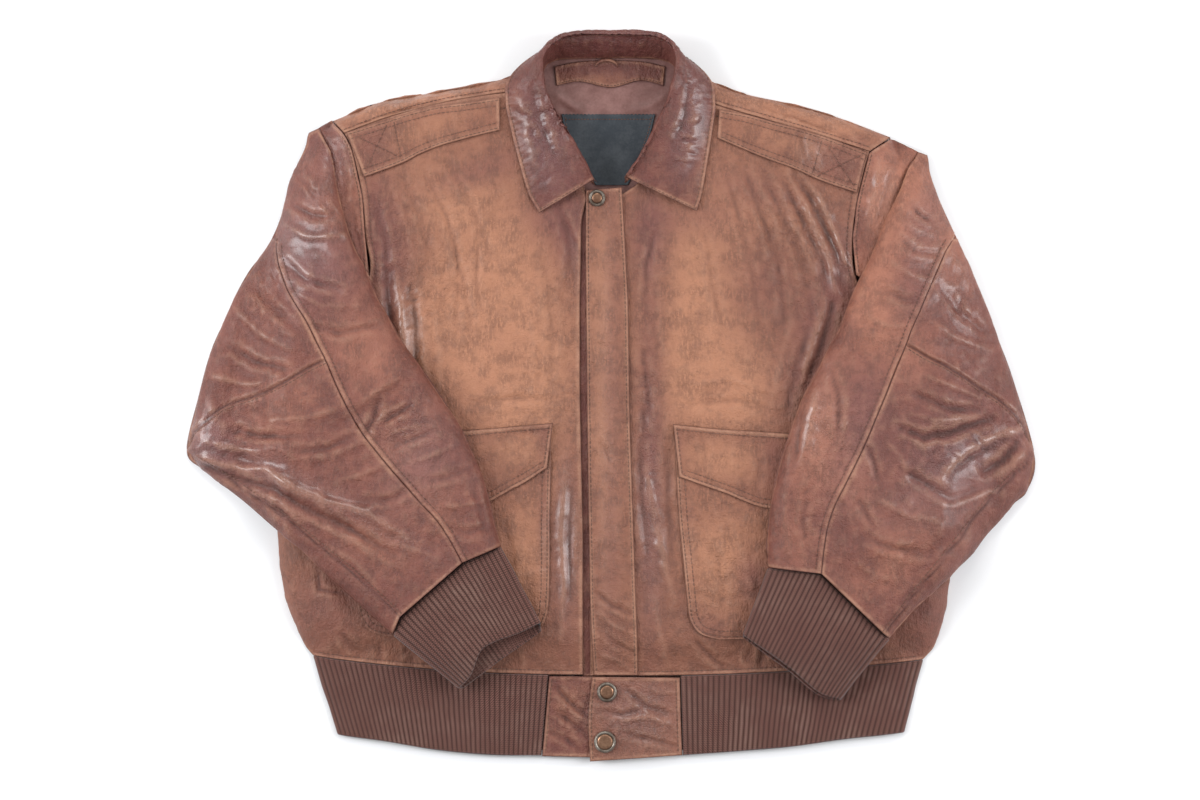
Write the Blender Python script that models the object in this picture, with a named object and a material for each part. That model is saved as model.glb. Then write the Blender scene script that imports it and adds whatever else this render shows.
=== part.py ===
"""Worn leather flight jacket, laid flat on a table with both sleeves folded across the front.

Every cloth piece is a thin wall on a net of points. The nets are drawn in table millimetres: x runs
to the right, y runs from the collar towards the hem, both as seen from straight above. Heights come
from a few form functions that all pieces share, so that layers follow each other.
"""

import math

import bmesh
import bpy
import numpy as np

MM = 0.001
# Middle of the garment's own bounding box, in table millimetres.
TABLE_CENTRE = (610.75, 397.0)

# Heights and walls, in millimetres.
BODY_RISE = 22.0
SIDE_ROLL = 26.0
HEM_SHARE = 0.47
BLOUSE_LENGTH = 45.0
SLEEVE_RISE = 17.0
SLEEVE_ROLL = 24.0
SLEEVE_LIFT_TOP = 3.0
SLEEVE_LIFT_POCKET = 6.0
DRAPE_REACH = 42.0
DRAPE_LENGTH = 62.0
LEATHER = 1.5
TRIM_LEATHER = 1.8
BACK_WALL = 1.2
LAYER_GAP = 0.8
SLEEVE_GAP = 1.8
SEAM_HALF = 0.17
RIB_WALL = 2.2
RIB_RAISE = 0.8
BAND_RIBS = 44
CUFF_RIBS = 26
CUFF_RISE = 13.0
COLLAR_WALL = 2.0
SNAP_HEIGHT = 3.0
UP = (0.0, 0.0, 1.0)

# Outline of the body layer: left side, shoulders, neck gap, right side. It runs on below the hem.
BODY_OUTLINE = [
    (345, 900), (337, 748), (327, 712), (318, 683), (311, 660), (303, 648), (293, 627), (283, 600),
    (277, 565), (275, 532), (272, 450), (273, 380), (282, 330), (300, 270), (314, 210), (321, 160),
    (324, 130), (331, 119), (380, 100), (430, 91), (465, 86), (490, 80), (515, 74), (537, 67),
    (541, 40), (680, 40), (684, 67), (705, 76), (722, 84), (745, 92), (765, 94), (800, 105),
    (840, 116), (880, 130), (893, 136), (899, 150), (908, 200), (925, 270), (945, 330), (955, 380),
    (956, 450), (954, 530), (953, 577), (949, 608), (943, 630), (936, 650), (926, 661), (920, 680),
    (914, 700), (907, 733), (900, 748), (895, 900),
]

# Seam between the panels and the knitted waistband, from the left side to the right.
HEM_SEAM = [(300, 656), (330, 660), (400, 668), (480, 674), (583, 677), (680, 678), (760, 672), (870, 661), (935, 661)]

# Folds that stand out of a surface: their line, half width and height.
BODY_FOLDS = [
    ([(378, 300), (398, 355), (416, 400)], 13, 2.2),
    ([(850, 235), (832, 300), (808, 372)], 13, 2.5),
    ([(742, 190), (752, 250), (768, 330)], 13, 2.4),
    ([(652, 440), (657, 520), (650, 600)], 13, -2.4),
    ([(566, 240), (570, 330), (568, 430)], 12, -1.8),
    ([(322, 560), (330, 600), (350, 640)], 12, 2.6),
]
LEFT_SLEEVE_FOLDS = [
    ([(200, 432), (250, 450), (310, 452)], 12, 3.2),
    ([(345, 425), (385, 405), (410, 385)], 11, -3.0),
    ([(250, 300), (300, 345), (350, 360)], 13, 2.4),
    ([(250, 480), (320, 505), (390, 525)], 13, 3.0),
    ([(330, 200), (318, 250), (330, 300)], 12, -2.4),
]
RIGHT_SLEEVE_FOLDS = [
    ([(1022, 428), (960, 448), (900, 462)], 12, 3.2),
    ([(915, 335), (865, 358), (825, 366)], 11, -3.0),
    ([(985, 300), (935, 335), (885, 350)], 13, 2.4),
    ([(975, 510), (915, 540), (850, 552)], 13, 3.0),
    ([(912, 205), (925, 260), (905, 300)], 12, -2.4),
]

# Body panels: (row, x, y) along the side and armhole, and along the centre and neckline.
FRONT_LEFT_SIDE = [
    (0, 311, 657), (1, 302, 646), (2, 293, 627), (3, 283.5, 602), (4, 277.5, 568), (5, 275.2, 534),
    (6, 273.5, 490), (7, 272, 450), (8, 272.3, 405), (9, 280, 368), (10, 306, 356), (11, 350, 322),
    (12, 369, 274), (13, 365, 236), (14, 362, 196), (15, 352, 150), (16, 344, 133),
]
FRONT_LEFT_CENTRE = [
    (0, 583, 676), (1, 583, 664), (2, 583, 645), (3, 583, 610), (4, 583, 570), (5, 583, 530),
    (6, 582, 485), (7, 581, 440), (8, 580, 395), (9, 580, 350), (10, 580, 305), (11, 581, 260),
    (12, 582, 222), (13, 586, 193), (14, 571, 157), (15, 549, 121), (16, 541, 90),
]
FRONT_LEFT_BOW = [(0, 5), (1, 4), (2, 2), (3, 0), (14, 0), (15, -5), (16, -10)]
FRONT_RIGHT_SIDE = [
    (0, 925.5, 661), (1, 936, 649), (2, 943, 629), (3, 949, 607), (4, 952.8, 575), (5, 954, 535),
    (6, 955, 490), (7, 956, 450), (8, 955.6, 405), (9, 950, 374), (10, 925, 362), (11, 878, 328),
    (12, 856, 275), (13, 853, 240), (14, 857, 203), (15, 865, 168), (16, 870, 151),
]
FRONT_RIGHT_CENTRE = [
    (0, 590, 677), (1, 590, 664), (2, 590, 645), (3, 590, 610), (4, 590, 570), (5, 590, 530),
    (6, 590, 485), (7, 590, 440), (8, 590, 395), (9, 590, 350), (10, 590, 305), (11, 590, 262),
    (12, 592, 228), (13, 614, 200), (14, 643, 177), (15, 664, 131), (16, 676, 92),
]
FRONT_RIGHT_BOW = [(0, 5), (1, 4), (2, 2), (3, 0), (16, 0)]
FRONT_COLUMNS = [0, 0.007, 0.03, 0.08, 0.16, 0.28, 0.42, 0.56, 0.7, 0.85, 1]

# Back panel: side lines and the lines below each end of the neck, then the fold over the shoulders.
BACK_LEFT_SIDE = [
    (0, 314.5, 655), (1, 305.5, 644), (2, 286.5, 602), (3, 278, 540), (4, 275, 450), (5, 280, 366),
    (6, 330, 338), (7, 338, 274), (8, 337, 180),
]
BACK_RIGHT_SIDE = [
    (0, 922, 659), (1, 932, 647), (2, 946, 604), (3, 951, 540), (4, 952.5, 450), (5, 949, 370),
    (6, 900, 340), (7, 886, 274), (8, 884, 190),
]
BACK_NECK_LEFT = [
    (0, 500, 673), (1, 500, 650), (2, 502, 602), (3, 505, 540), (4, 510, 450), (5, 516, 366),
    (6, 520, 310), (7, 526, 230), (8, 532, 140),
]
BACK_NECK_RIGHT = [
    (0, 722, 673), (1, 722, 650), (2, 720, 602), (3, 717, 540), (4, 712, 450), (5, 706, 366),
    (6, 702, 310), (7, 696, 230), (8, 690, 140),
]
SHOULDER_FOLD_LEFT = [(0, 331.5, 119.5), (0.25, 380, 100.4), (0.5, 430, 91.4), (0.75, 488, 80.8), (1, 537, 67.5)]
SHOULDER_FOLD_RIGHT = [(0, 892, 136), (0.25, 842, 117), (0.5, 790, 102), (0.75, 740, 90.5), (1, 684, 67.5)]
# Share of the way from the fold to the shoulder seam, and the height where it isn't the body's.
SHOULDER_WRAP = [(0.26, 0.0), (0.06, 1.2), (0.0, 4.5), (0.05, None), (0.22, None), (0.55, None), (1.0, None)]

# Left sleeve: (row, x, y) of its outer edge, lower seam, main seam, inner edge and armhole.
LEFT_OUTER = [
    (0, 306, 137), (1, 304, 146), (2, 296, 163), (3, 287, 182), (4, 281, 210), (5, 270, 237),
    (6, 258, 256), (7, 247, 270), (8, 234, 293), (9, 221, 322), (10, 208, 352), (11, 196, 396),
    (12, 184, 451), (13, 200, 470), (14, 222, 487), (15, 243, 503), (16, 264, 520), (17, 284, 536),
    (18, 304, 552), (19, 325, 573), (20, 347, 593), (21, 369, 613), (22, 393, 634),
]
LEFT_LOWER = [
    (0, 308, 132.5), (1, 307, 146), (2, 299, 163), (3, 290, 182), (4, 284, 210), (5, 272.5, 237.5),
    (6, 262, 257), (7, 252, 271), (8, 239, 294), (9, 226, 323), (10, 213, 353), (11, 201, 396),
    (12, 189, 450), (13, 205, 466), (14, 229, 481), (15, 251, 495), (16, 272, 508), (17, 293, 523),
    (18, 313, 539), (19, 334, 556), (20, 357, 575), (21, 379, 595), (22, 401, 616),
]
LEFT_MAIN = [
    (0, 312, 128), (1, 311, 145.5), (2, 304, 163), (3, 295, 183), (4, 288, 211), (5, 276, 238),
    (6, 277, 258), (7, 281, 272), (8, 288, 290), (9, 297, 305), (10, 308, 322), (11, 318, 342),
    (12, 327, 360), (13, 339, 388), (14, 352, 414), (15, 365, 435), (16, 379, 453), (17, 393, 470),
    (18, 408, 487), (19, 422, 503), (20, 437, 519), (21, 450, 538), (22, 463, 562),
]
LEFT_INNER = [
    (0, 321, 133), (1, 326, 143), (2, 333, 161), (3, 338, 186), (4, 344, 212), (5, 352, 236),
    (6, 360, 256), (7, 367, 270.5), (8, 373, 286), (9, 381, 303), (10, 390, 319), (11, 398, 334),
    (12, 407, 348), (13, 419, 364), (14, 430, 379), (15, 441, 395), (16, 451, 411), (17, 461, 427),
    (18, 470, 446), (19, 480, 469), (20, 488, 493), (21, 494, 518), (22, 501, 546),
]
LEFT_ARMHOLE = [
    (0, 334.0, 123.6), (1, 343.4, 133.7), (2, 352, 150), (3, 357, 173), (4, 362, 196), (5, 363.5, 216),
    (6, 365, 236), (7, 369, 274),
]
RIGHT_OUTER = [
    (0, 930.5, 160), (1, 932, 172), (2, 938, 190), (3, 945, 207), (4, 952, 222), (5, 959, 237),
    (6, 966, 252), (7, 973, 267), (8, 981, 286), (9, 990, 308), (10, 1001, 339), (11, 1016, 380),
    (12, 1037.5, 456), (13, 1030, 491), (14, 1017, 504), (15, 1003, 521), (16, 989, 536), (17, 974, 555),
    (18, 958, 569), (19, 943, 584), (20, 927, 598), (21, 911, 613), (22, 889.5, 638.5),
]
RIGHT_LOWER = [
    (0, 929, 155.5), (1, 929, 172), (2, 935, 190), (3, 942, 207), (4, 949, 222), (5, 956.5, 237.5),
    (6, 961, 253), (7, 968, 268), (8, 976, 287), (9, 985, 309), (10, 996, 340), (11, 1011, 381),
    (12, 1031.5, 453), (13, 1016, 474), (14, 1002, 489), (15, 988, 503), (16, 973, 521), (17, 958, 539),
    (18, 944, 556), (19, 930, 573), (20, 916, 590), (21, 904, 606), (22, 883.5, 634),
]
RIGHT_MAIN = [
    (0, 925, 151.5), (1, 925, 172), (2, 931, 190), (3, 938, 207), (4, 945, 223), (5, 953, 238),
    (6, 946, 251), (7, 939, 266), (8, 932, 281), (9, 925, 296), (10, 918, 312), (11, 910, 330),
    (12, 904, 346), (13, 893, 372), (14, 884, 395), (15, 874, 419), (16, 864, 443), (17, 854, 464),
    (18, 844, 484), (19, 834, 504), (20, 827, 524), (21, 823, 546), (22, 820, 573),
]
RIGHT_INNER = [
    (0, 916, 157), (1, 909, 167), (2, 900, 189), (3, 890, 210), (4, 881, 227), (5, 875, 242),
    (6, 867, 261), (7, 860, 277), (8, 852, 294), (9, 845, 312), (10, 838, 329), (11, 829, 346),
    (12, 820, 364), (13, 810, 382), (14, 801, 400), (15, 794, 419), (16, 787, 440), (17, 780, 460),
    (18, 775, 480), (19, 771, 502), (20, 768, 524), (21, 766, 546), (22, 768, 567),
]
RIGHT_ARMHOLE = [
    (0, 887, 140.7), (1, 870.5, 151.7), (2, 867.5, 159.5), (3, 863, 177), (4, 857, 203), (5, 855, 221.5),
    (6, 853, 240), (7, 856, 275),
]
SLEEVE_STRIP = [0, 0.4]
SLEEVE_ELBOW = [0, 0.12, 0.32, 0.55, 0.78]
SLEEVE_FRONT = [0, 0.35, 0.65, 0.88, 0.97]
SLEEVE_CAP = [0, 0.25, 0.6, 1]
MAIN_SEAM_ROW = 5
CAP_END_ROW = 7
SLEEVE_ROWS = 22

# Cuffs: (share across, x, y) of the joint to the sleeve, the top layer's hem and the under layer's hem.
LEFT_CUFF_JOINT = [(0, 393, 634), (0.11, 401, 616), (0.68, 463, 562), (1, 501, 546)]
LEFT_CUFF_HEM = [(0, 459, 689), (0.2, 471, 675), (0.42, 483, 648), (0.55, 495, 641), (0.8, 520, 632), (1, 541, 622)]
LEFT_CUFF_UNDER = [(0, 461, 690), (0.25, 478, 677), (0.5, 500, 660), (0.75, 522, 645), (1, 543, 630)]
RIGHT_CUFF_JOINT = [(0, 889.5, 638.5), (0.05, 883.5, 634), (0.63, 820, 573), (1, 768, 567)]
RIGHT_CUFF_HEM = [(0, 841, 700), (0.25, 818, 692), (0.5, 790, 668), (0.75, 765, 650), (1, 742, 634)]
RIGHT_CUFF_UNDER = [(0, 842, 702), (0.25, 818, 695), (0.5, 789, 671), (0.75, 764, 653), (1, 741, 636)]

# Trim that lies on the panels: rails of (row, x, y).
PLACKET_LEFT = [(0, 586, 190), (1, 585.5, 240), (2, 586, 300), (3, 586.6, 360), (4, 587.2, 420), (5, 588, 480),
                (6, 589, 540), (7, 590, 600), (8, 592, 645), (9, 594, 676.5)]
PLACKET_RIGHT = [(0, 622, 187), (1, 625, 240), (2, 628, 300), (3, 629, 360), (4, 630, 420), (5, 632, 480),
                 (6, 634, 540), (7, 636, 600), (8, 637.5, 645), (9, 638, 676.5)]
EPAULET_LEFT_UPPER = [(0, 346, 132), (1, 386, 119.5), (2, 410, 112), (3, 436, 105.5), (4, 462, 102.5), (5, 500, 97)]
EPAULET_LEFT_LOWER = [(0, 364, 177), (1, 400, 164), (2, 420, 154), (3, 440, 146), (4, 462, 139.5), (5, 500, 130)]
EPAULET_RIGHT_UPPER = [(0, 867, 152), (1, 830, 138), (2, 800, 128.5), (3, 775, 122), (4, 748, 114.5), (5, 719, 109)]
EPAULET_RIGHT_LOWER = [(0, 857, 193), (1, 822, 181), (2, 795, 169), (3, 770, 160), (4, 745, 150), (5, 717, 138)]
POCKET_LEFT_INNER = [(0, 551, 427), (1, 551, 470), (2, 550, 515), (3, 550, 560), (4, 549, 600), (5, 546, 619),
                     (6, 537, 633), (7, 518, 640)]
POCKET_LEFT_OUTER = [(0, 357, 433), (1, 357, 472), (2, 357, 515), (3, 357, 560), (4, 357, 596), (5, 359, 616),
                     (6, 369, 631), (7, 388, 637)]
POCKET_RIGHT_INNER = [(0, 674, 428), (1, 676, 470), (2, 678.5, 515), (3, 683, 560), (4, 687, 600), (5, 690, 620),
                      (6, 700, 634), (7, 720, 640)]
POCKET_RIGHT_OUTER = [(0, 868, 437), (1, 869, 475), (2, 870, 515), (3, 871, 560), (4, 871, 598), (5, 868, 618),
                      (6, 858, 632), (7, 840, 638)]
FLAP_LEFT_TOP = [(0, 553, 423), (0.25, 506, 427), (0.5, 456, 431), (0.75, 405, 433), (1, 355, 436)]
FLAP_LEFT_EDGE = [(0, 547, 468), (0.25, 515, 488), (0.5, 457, 513), (0.75, 395, 492), (1, 360, 478)]
FLAP_RIGHT_TOP = [(0, 673, 424), (0.25, 722, 429), (0.5, 771, 432), (0.75, 822, 436), (1, 871, 440)]
FLAP_RIGHT_EDGE = [(0, 679, 477), (0.25, 724, 493), (0.5, 772, 509), (0.75, 826, 497), (1, 868, 482)]

# Waistband: (share across, x, y) of its seam and its free edge.
BAND_LEFT_REACH = 0.871
BAND_LEFT_EDGE = [(0, 336, 737), (0.2, 377, 742), (0.5, 438, 752), (0.8, 500, 757), (1, 541, 757)]
BAND_RIGHT_REACH = 0.729
BAND_RIGHT_EDGE = [(0, 906, 735), (0.25, 846, 741), (0.5, 792, 748.5), (0.75, 738, 753), (1, 683.5, 757)]
TAB_LEFT_START = [(0, 548.8, 677.2), (1, 541.8, 758)]
TAB_LEFT_END = [(0, 632, 678), (1, 632, 760)]
TAB_RIGHT_START = [(0, 592, 677.6), (1, 588, 720), (2, 590, 763)]
TAB_RIGHT_END = [(0, 680.3, 678.6), (1, 681.5, 720), (2, 682.8, 757)]
BAND_BACK_INSET = 4.8
SNAPS = [("snap_collar", 597, 198, 8.5), ("snap_upper", 607, 693, 10.0), ("snap_lower", 605, 743, 11.0)]

# Collar, from its left point round the back: outer edge, roll and base, each with its height.
COLLAR = [
    # outer x, y, z      roll x, y, z        base x, y, z
    ((539, 213, 24.8), (593, 181, 33.0), (595, 184, 24.0)),
    ((528, 194, 24.8), (583, 161, 36.0), (579.5, 164, 19.0)),
    ((518, 160, 24.8), (570, 138, 38.0), (566.5, 140, 19.0)),
    ((510, 128, 24.8), (555, 113, 40.0), (552.5, 115, 19.0)),
    ((505, 102, 24.8), (545, 88, 41.5), (546.5, 91, 18.0)),
    ((508, 78, 21.0), (542, 62, 43.0), (543.5, 71, 12.0)),
    ((532, 54, 9.0), (552, 45.5, 43.0), (553, 61, 6.0)),
    ((564, 41.5, 6.0), (571, 37, 42.0), (575, 58, 5.0)),
    ((611, 40.5, 5.5), (611, 36, 41.0), (611, 57.5, 5.0)),
    ((656, 41.5, 6.0), (652, 37, 42.0), (646, 58, 5.0)),
    ((688, 56, 9.0), (670, 45.5, 43.0), (668, 61, 6.0)),
    ((711, 79, 21.0), (677, 62, 43.0), (675.5, 71, 12.0)),
    ((716, 104, 24.8), (672, 88, 41.5), (670.5, 92, 18.0)),
    ((713, 130, 24.8), (662, 114, 40.0), (661, 119, 19.0)),
    ((708, 162, 24.8), (650, 139, 38.0), (649, 145, 19.0)),
    ((702, 195, 24.8), (639, 160, 36.0), (638.5, 168, 19.0)),
    ((697, 211, 24.8), (626, 178, 33.0), (624, 182, 24.0)),
]

# Inside of the neck: outlines as pairs of rails.
LINING_LEFT = [(0, 560, 70), (1, 548, 100), (2, 548, 140), (3, 552, 180), (4, 560, 215), (5, 565, 250)]
LINING_RIGHT = [(0, 660, 70), (1, 672, 100), (2, 672, 140), (3, 668, 180), (4, 660, 215), (5, 655, 250)]
FACING_TOP = [(0, 554, 64.5), (0.25, 580, 59.5), (0.5, 611, 58.4), (0.75, 642, 59.5), (1, 666, 64.5)]
FACING_EDGE = [(0, 556, 84), (0.25, 580, 80), (0.5, 611, 86), (0.75, 640, 79), (1, 664, 84)]
LABEL_LEFT = [(0, 561, 112), (1, 566, 135), (2, 578, 160), (3, 596, 184)]
LABEL_RIGHT = [(0, 656, 112), (1, 650, 135), (2, 640, 160), (3, 628, 184)]

# Colours are linear RGB, then roughness and metallic.
TAN = (0.36, 0.165, 0.085)
BROWN = (0.21, 0.092, 0.055)
PLUM = (0.19, 0.085, 0.065)
MATERIALS = {
    "leather_front": (TAN, 0.5, 0.0),
    "leather_body": (BROWN, 0.5, 0.0),
    "leather_sleeve": (PLUM, 0.42, 0.0),
    "knit": ((0.085, 0.045, 0.032), 0.9, 0.0),
    "satin": ((0.15, 0.055, 0.045), 0.4, 0.0),
    "label": ((0.055, 0.07, 0.085), 0.8, 0.0),
    "snap": ((0.25, 0.21, 0.18), 0.35, 0.9),
}


def along(points, at):
    """Smooth curve through control points (t, a, b, ...), read at the values of t in at."""
    data = np.array(points, float)
    t, values = data[:, 0], data[:, 1:]
    at = np.asarray(at, float)
    if len(t) < 3:
        return np.stack([np.interp(at, t, v) for v in values.T], -1)
    slope = np.stack([np.gradient(v, t) for v in values.T], -1)
    k = np.clip(np.searchsorted(t, at, side="right") - 1, 0, len(t) - 2)
    step = (t[k + 1] - t[k])[..., None]
    u = ((at - t[k]) / (t[k + 1] - t[k]))[..., None]
    start = values[k] * (2 * u**3 - 3 * u**2 + 1) + slope[k] * step * (u**3 - 2 * u**2 + u)
    end = values[k + 1] * (3 * u**2 - 2 * u**3) + slope[k + 1] * step * (u**3 - u**2)
    return start + end


def straight(points, at):
    """Polyline through control points (t, a, b), read at the values of t in at."""
    data = np.array(points, float)
    return np.stack([np.interp(at, data[:, 0], v) for v in data[:, 1:].T], -1)


def smooth(value):
    value = np.clip(value, 0.0, 1.0)
    return value * value * (3 - 2 * value)


def rolled(distance, reach):
    """Quarter of an ellipse: 0 at the edge, 1 once the distance passes reach."""
    return np.sqrt(1 - (1 - np.clip(distance / reach, 0.0, 1.0)) ** 2)


def distance_to(xy, line):
    """Distance from each point to a polyline."""
    line = np.array(line, float)
    start, step = line[:-1], np.diff(line, axis=0)
    offset = xy[..., None, :] - start
    u = np.clip((offset * step).sum(-1) / (step * step).sum(-1), 0.0, 1.0)
    return np.linalg.norm(offset - u[..., None] * step, axis=-1).min(-1)


def inside(xy, outline):
    """Signed distance to a closed outline, positive inside."""
    ring = np.array(list(outline) + [outline[0]], float)
    (x0, y0), (x1, y1) = ring[:-1].T, ring[1:].T
    px, py = xy[..., 0, None], xy[..., 1, None]
    across = (y0 > py) != (y1 > py)
    rise = np.where(y1 == y0, 1.0, y1 - y0)
    crossings = (across & (px < x0 + (py - y0) * (x1 - x0) / rise)).sum(-1)
    return np.where(crossings % 2 == 1, 1.0, -1.0) * distance_to(xy, ring)


def folds(xy, lines):
    total = np.zeros(xy.shape[:-1])
    for line, width, height in lines:
        total += height * np.exp(-((distance_to(xy, line) / width) ** 2))
    return total


def above_hem(xy):
    seam = np.array(HEM_SEAM, float)
    return np.interp(xy[..., 0], seam[:, 0], seam[:, 1]) - xy[..., 1]


def body_height(xy):
    """Outer face of the body's top layer, 0 at its outline."""
    roll = rolled(inside(xy, BODY_OUTLINE), SIDE_ROLL)
    gap = above_hem(xy)
    share = HEM_SHARE + (1 - HEM_SHARE) * smooth(gap / BLOUSE_LENGTH)
    share = share + np.clip(gap, -90, 0) * 0.0006
    return roll * (BODY_RISE * share + folds(xy, BODY_FOLDS))


def drape_height(xy):
    """Underside of a sleeve: the table outside the body, clear of the panels over it."""
    share = smooth((inside(xy, BODY_OUTLINE) + DRAPE_REACH) / DRAPE_LENGTH)
    lift = SLEEVE_LIFT_TOP + (SLEEVE_LIFT_POCKET - SLEEVE_LIFT_TOP) * smooth((xy[..., 1] - 340) / 60)
    sag = 0.5 + 0.5 * smooth((above_hem(xy) + 40) / 70)
    return (BODY_RISE + lift) * share * sag


def net(rails, rows, columns, bow=None):
    """Points between two rails of (row, x, y): one row of the net for each entry of rows."""
    first, last = (along(rail, rows) for rail in rails)
    share = np.array(columns, float)[None, :, None]
    xy = first[:, None] * (1 - share) + last[:, None] * share
    if bow is not None:
        middle = along([(row, dy) for row, dy in bow], rows)
        xy[..., 1] += middle * 4 * share[0, :, 0] * (1 - share[0, :, 0])
    return xy


def with_height(xy, z):
    return np.concatenate([xy, np.broadcast_to(z, xy.shape[:-1])[..., None]], -1)


def normals(points, ring=False):
    """Unit normals of a net; on a ring of columns the last meets the first."""
    down = np.gradient(points, axis=0)
    if ring:
        across = (np.roll(points, -1, 1) - np.roll(points, 1, 1)) / 2
    else:
        across = np.gradient(points, axis=1)
    normal = np.cross(down, across)
    return normal / np.maximum(np.linalg.norm(normal, axis=-1, keepdims=True), 1e-9)


def square_to(normal, axis):
    """Normals with their share along one direction taken out."""
    axis = np.array(axis, float)
    normal = normal - (normal * axis).sum(-1, keepdims=True) * axis
    return normal / np.linalg.norm(normal, axis=-1, keepdims=True)


def outward(points, ring=False):
    """Normals turned up, or away from the middle line of a ring."""
    normal = normals(points, ring)
    if ring:
        away = points - points.mean(1, keepdims=True)
        return normal if (normal * away).sum() > 0 else -normal
    return normal if normal[..., 2].sum() > 0 else -normal


def pulled_in(points, cells):
    """Moves the rim of the chosen cells back by half a seam gap."""
    rows, columns = points.shape[:2]
    middle = (points[:-1, :-1] + points[1:, :-1] + points[:-1, 1:] + points[1:, 1:]) / 4
    total = np.zeros_like(points)
    count = np.zeros((rows, columns))
    for i in (0, 1):
        for j in (0, 1):
            total[i : rows - 1 + i, j : columns - 1 + j] += middle * cells[..., None]
            count[i : rows - 1 + i, j : columns - 1 + j] += cells
    rim = (count > 0) & (count < 4)
    moved = points.copy()
    toward = total[rim] / count[rim][:, None] - points[rim]
    moved[rim] += toward / np.linalg.norm(toward, axis=-1, keepdims=True) * SEAM_HALF * 1.3
    return moved


def make_material(name):
    colour, roughness, metallic = MATERIALS[name]
    material = bpy.data.materials.new(name)
    material.use_nodes = True
    shader = material.node_tree.nodes["Principled BSDF"]
    shader.inputs["Base Color"].default_value = (*colour, 1.0)
    shader.inputs["Roughness"].default_value = roughness
    shader.inputs["Metallic"].default_value = metallic
    return material


def to_table(points):
    """Table millimetres to metres in the object's frame."""
    centre = np.array([TABLE_CENTRE[0], TABLE_CENTRE[1], 0.0])
    return (points - centre) * np.array([MM, -MM, MM])


def shell(name, look, outer, inner, cells=None, ring=False):
    """One closed wall: a grid laid on the outer points, extruded to the inner ones."""
    rows, columns = outer.shape[:2]
    wide = columns + 1 if ring else columns
    if ring:
        outer = np.concatenate([outer, outer[:, :1]], 1)
        inner = np.concatenate([inner, inner[:, :1]], 1)
    inner = inner.copy()
    inner[..., 2] = np.maximum(inner[..., 2], 0.0)
    outer, inner = to_table(outer), to_table(inner)
    bm = bmesh.new()
    at = bm.verts.layers.int.new("net_index")
    bmesh.ops.create_grid(bm, x_segments=wide - 1, y_segments=rows - 1, size=1.0)
    bm.verts.ensure_lookup_table()
    for vert in bm.verts:
        column = round((vert.co.x + 1) / 2 * (wide - 1))
        row = round((vert.co.y + 1) / 2 * (rows - 1))
        vert[at] = row * wide + column
    flat_outer, flat_inner = outer.reshape(-1, 3), inner.reshape(-1, 3)
    if cells is not None:
        chosen = cells.reshape(-1)
        unused = [
            face for face in bm.faces
            if not chosen[cell_of(face, at, wide)]
        ]
        bmesh.ops.delete(bm, geom=unused, context="FACES")
    for vert in bm.verts:
        vert.co = flat_outer[vert[at]]
    if ring:
        bmesh.ops.remove_doubles(bm, verts=bm.verts, dist=1e-6)
    made = bmesh.ops.extrude_face_region(bm, geom=list(bm.faces), use_keep_orig=True)
    for item in made["geom"]:
        if isinstance(item, bmesh.types.BMVert):
            item.co = flat_inner[item[at]]
    bmesh.ops.triangulate(bm, faces=bm.faces)
    bmesh.ops.recalc_face_normals(bm, faces=bm.faces)
    return add_object(name, look, bm)


def cell_of(face, at, wide):
    """Number of the net's cell that a face covers."""
    low = min(vert[at] for vert in face.verts)
    row, column = divmod(low, wide)
    return row * (wide - 1) + column


def add_object(name, look, bm):
    mesh = bpy.data.meshes.new(name)
    bm.to_mesh(mesh)
    bm.free()
    mesh.shade_smooth()
    mesh.set_sharp_from_angle(angle=math.radians(35))
    mesh.materials.append(bpy.data.materials.get(look) or make_material(look))
    made = bpy.data.objects.new(name, mesh)
    bpy.context.scene.collection.objects.link(made)
    return made


def laid(name, look, outer, wall, cells, end):
    """A wall from its outer points: upright at its tip, and square to end, the direction of its last seam."""
    normal = outward(outer)
    normal[0] = UP
    normal[1] = (normal[1] + UP) / 2
    normal[-1] = square_to(normal[-1], end)
    outer = pulled_in(outer, cells)
    return shell(name, look, outer, outer - normal * wall, cells)


def on_body(name, look, xy, wall, lift):
    """Trim on the panels: their own height moved up by lift and the wall."""
    outer = with_height(xy, body_height(xy) + lift + wall)
    return shell(name, look, outer, outer - [0, 0, wall])


def fronts():
    rows = range(17)
    for name, side, centre, bow in (
        ("front_left", FRONT_LEFT_SIDE, FRONT_LEFT_CENTRE, FRONT_LEFT_BOW),
        ("front_right", FRONT_RIGHT_SIDE, FRONT_RIGHT_CENTRE, FRONT_RIGHT_BOW),
    ):
        xy = net((side, centre), rows, FRONT_COLUMNS, bow)
        outer = with_height(xy, body_height(xy))
        normal = outward(outer)
        normal[0] = square_to(normal[0], [0.0, 1.0, 0.0])
        normal[-1] = UP
        outer = pulled_in(outer, np.ones((outer.shape[0] - 1, outer.shape[1] - 1)))
        shell(name, "leather_front", outer, outer - normal * LEATHER)


def shoulder_rows(fold, seam):
    """Rows from the flat back, round the fold over the shoulder, to the seam in front."""
    made = []
    for share, height in SHOULDER_WRAP:
        xy = fold * (1 - share) + seam * share
        made.append(with_height(xy, body_height(xy) if height is None else height))
    return made


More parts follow.
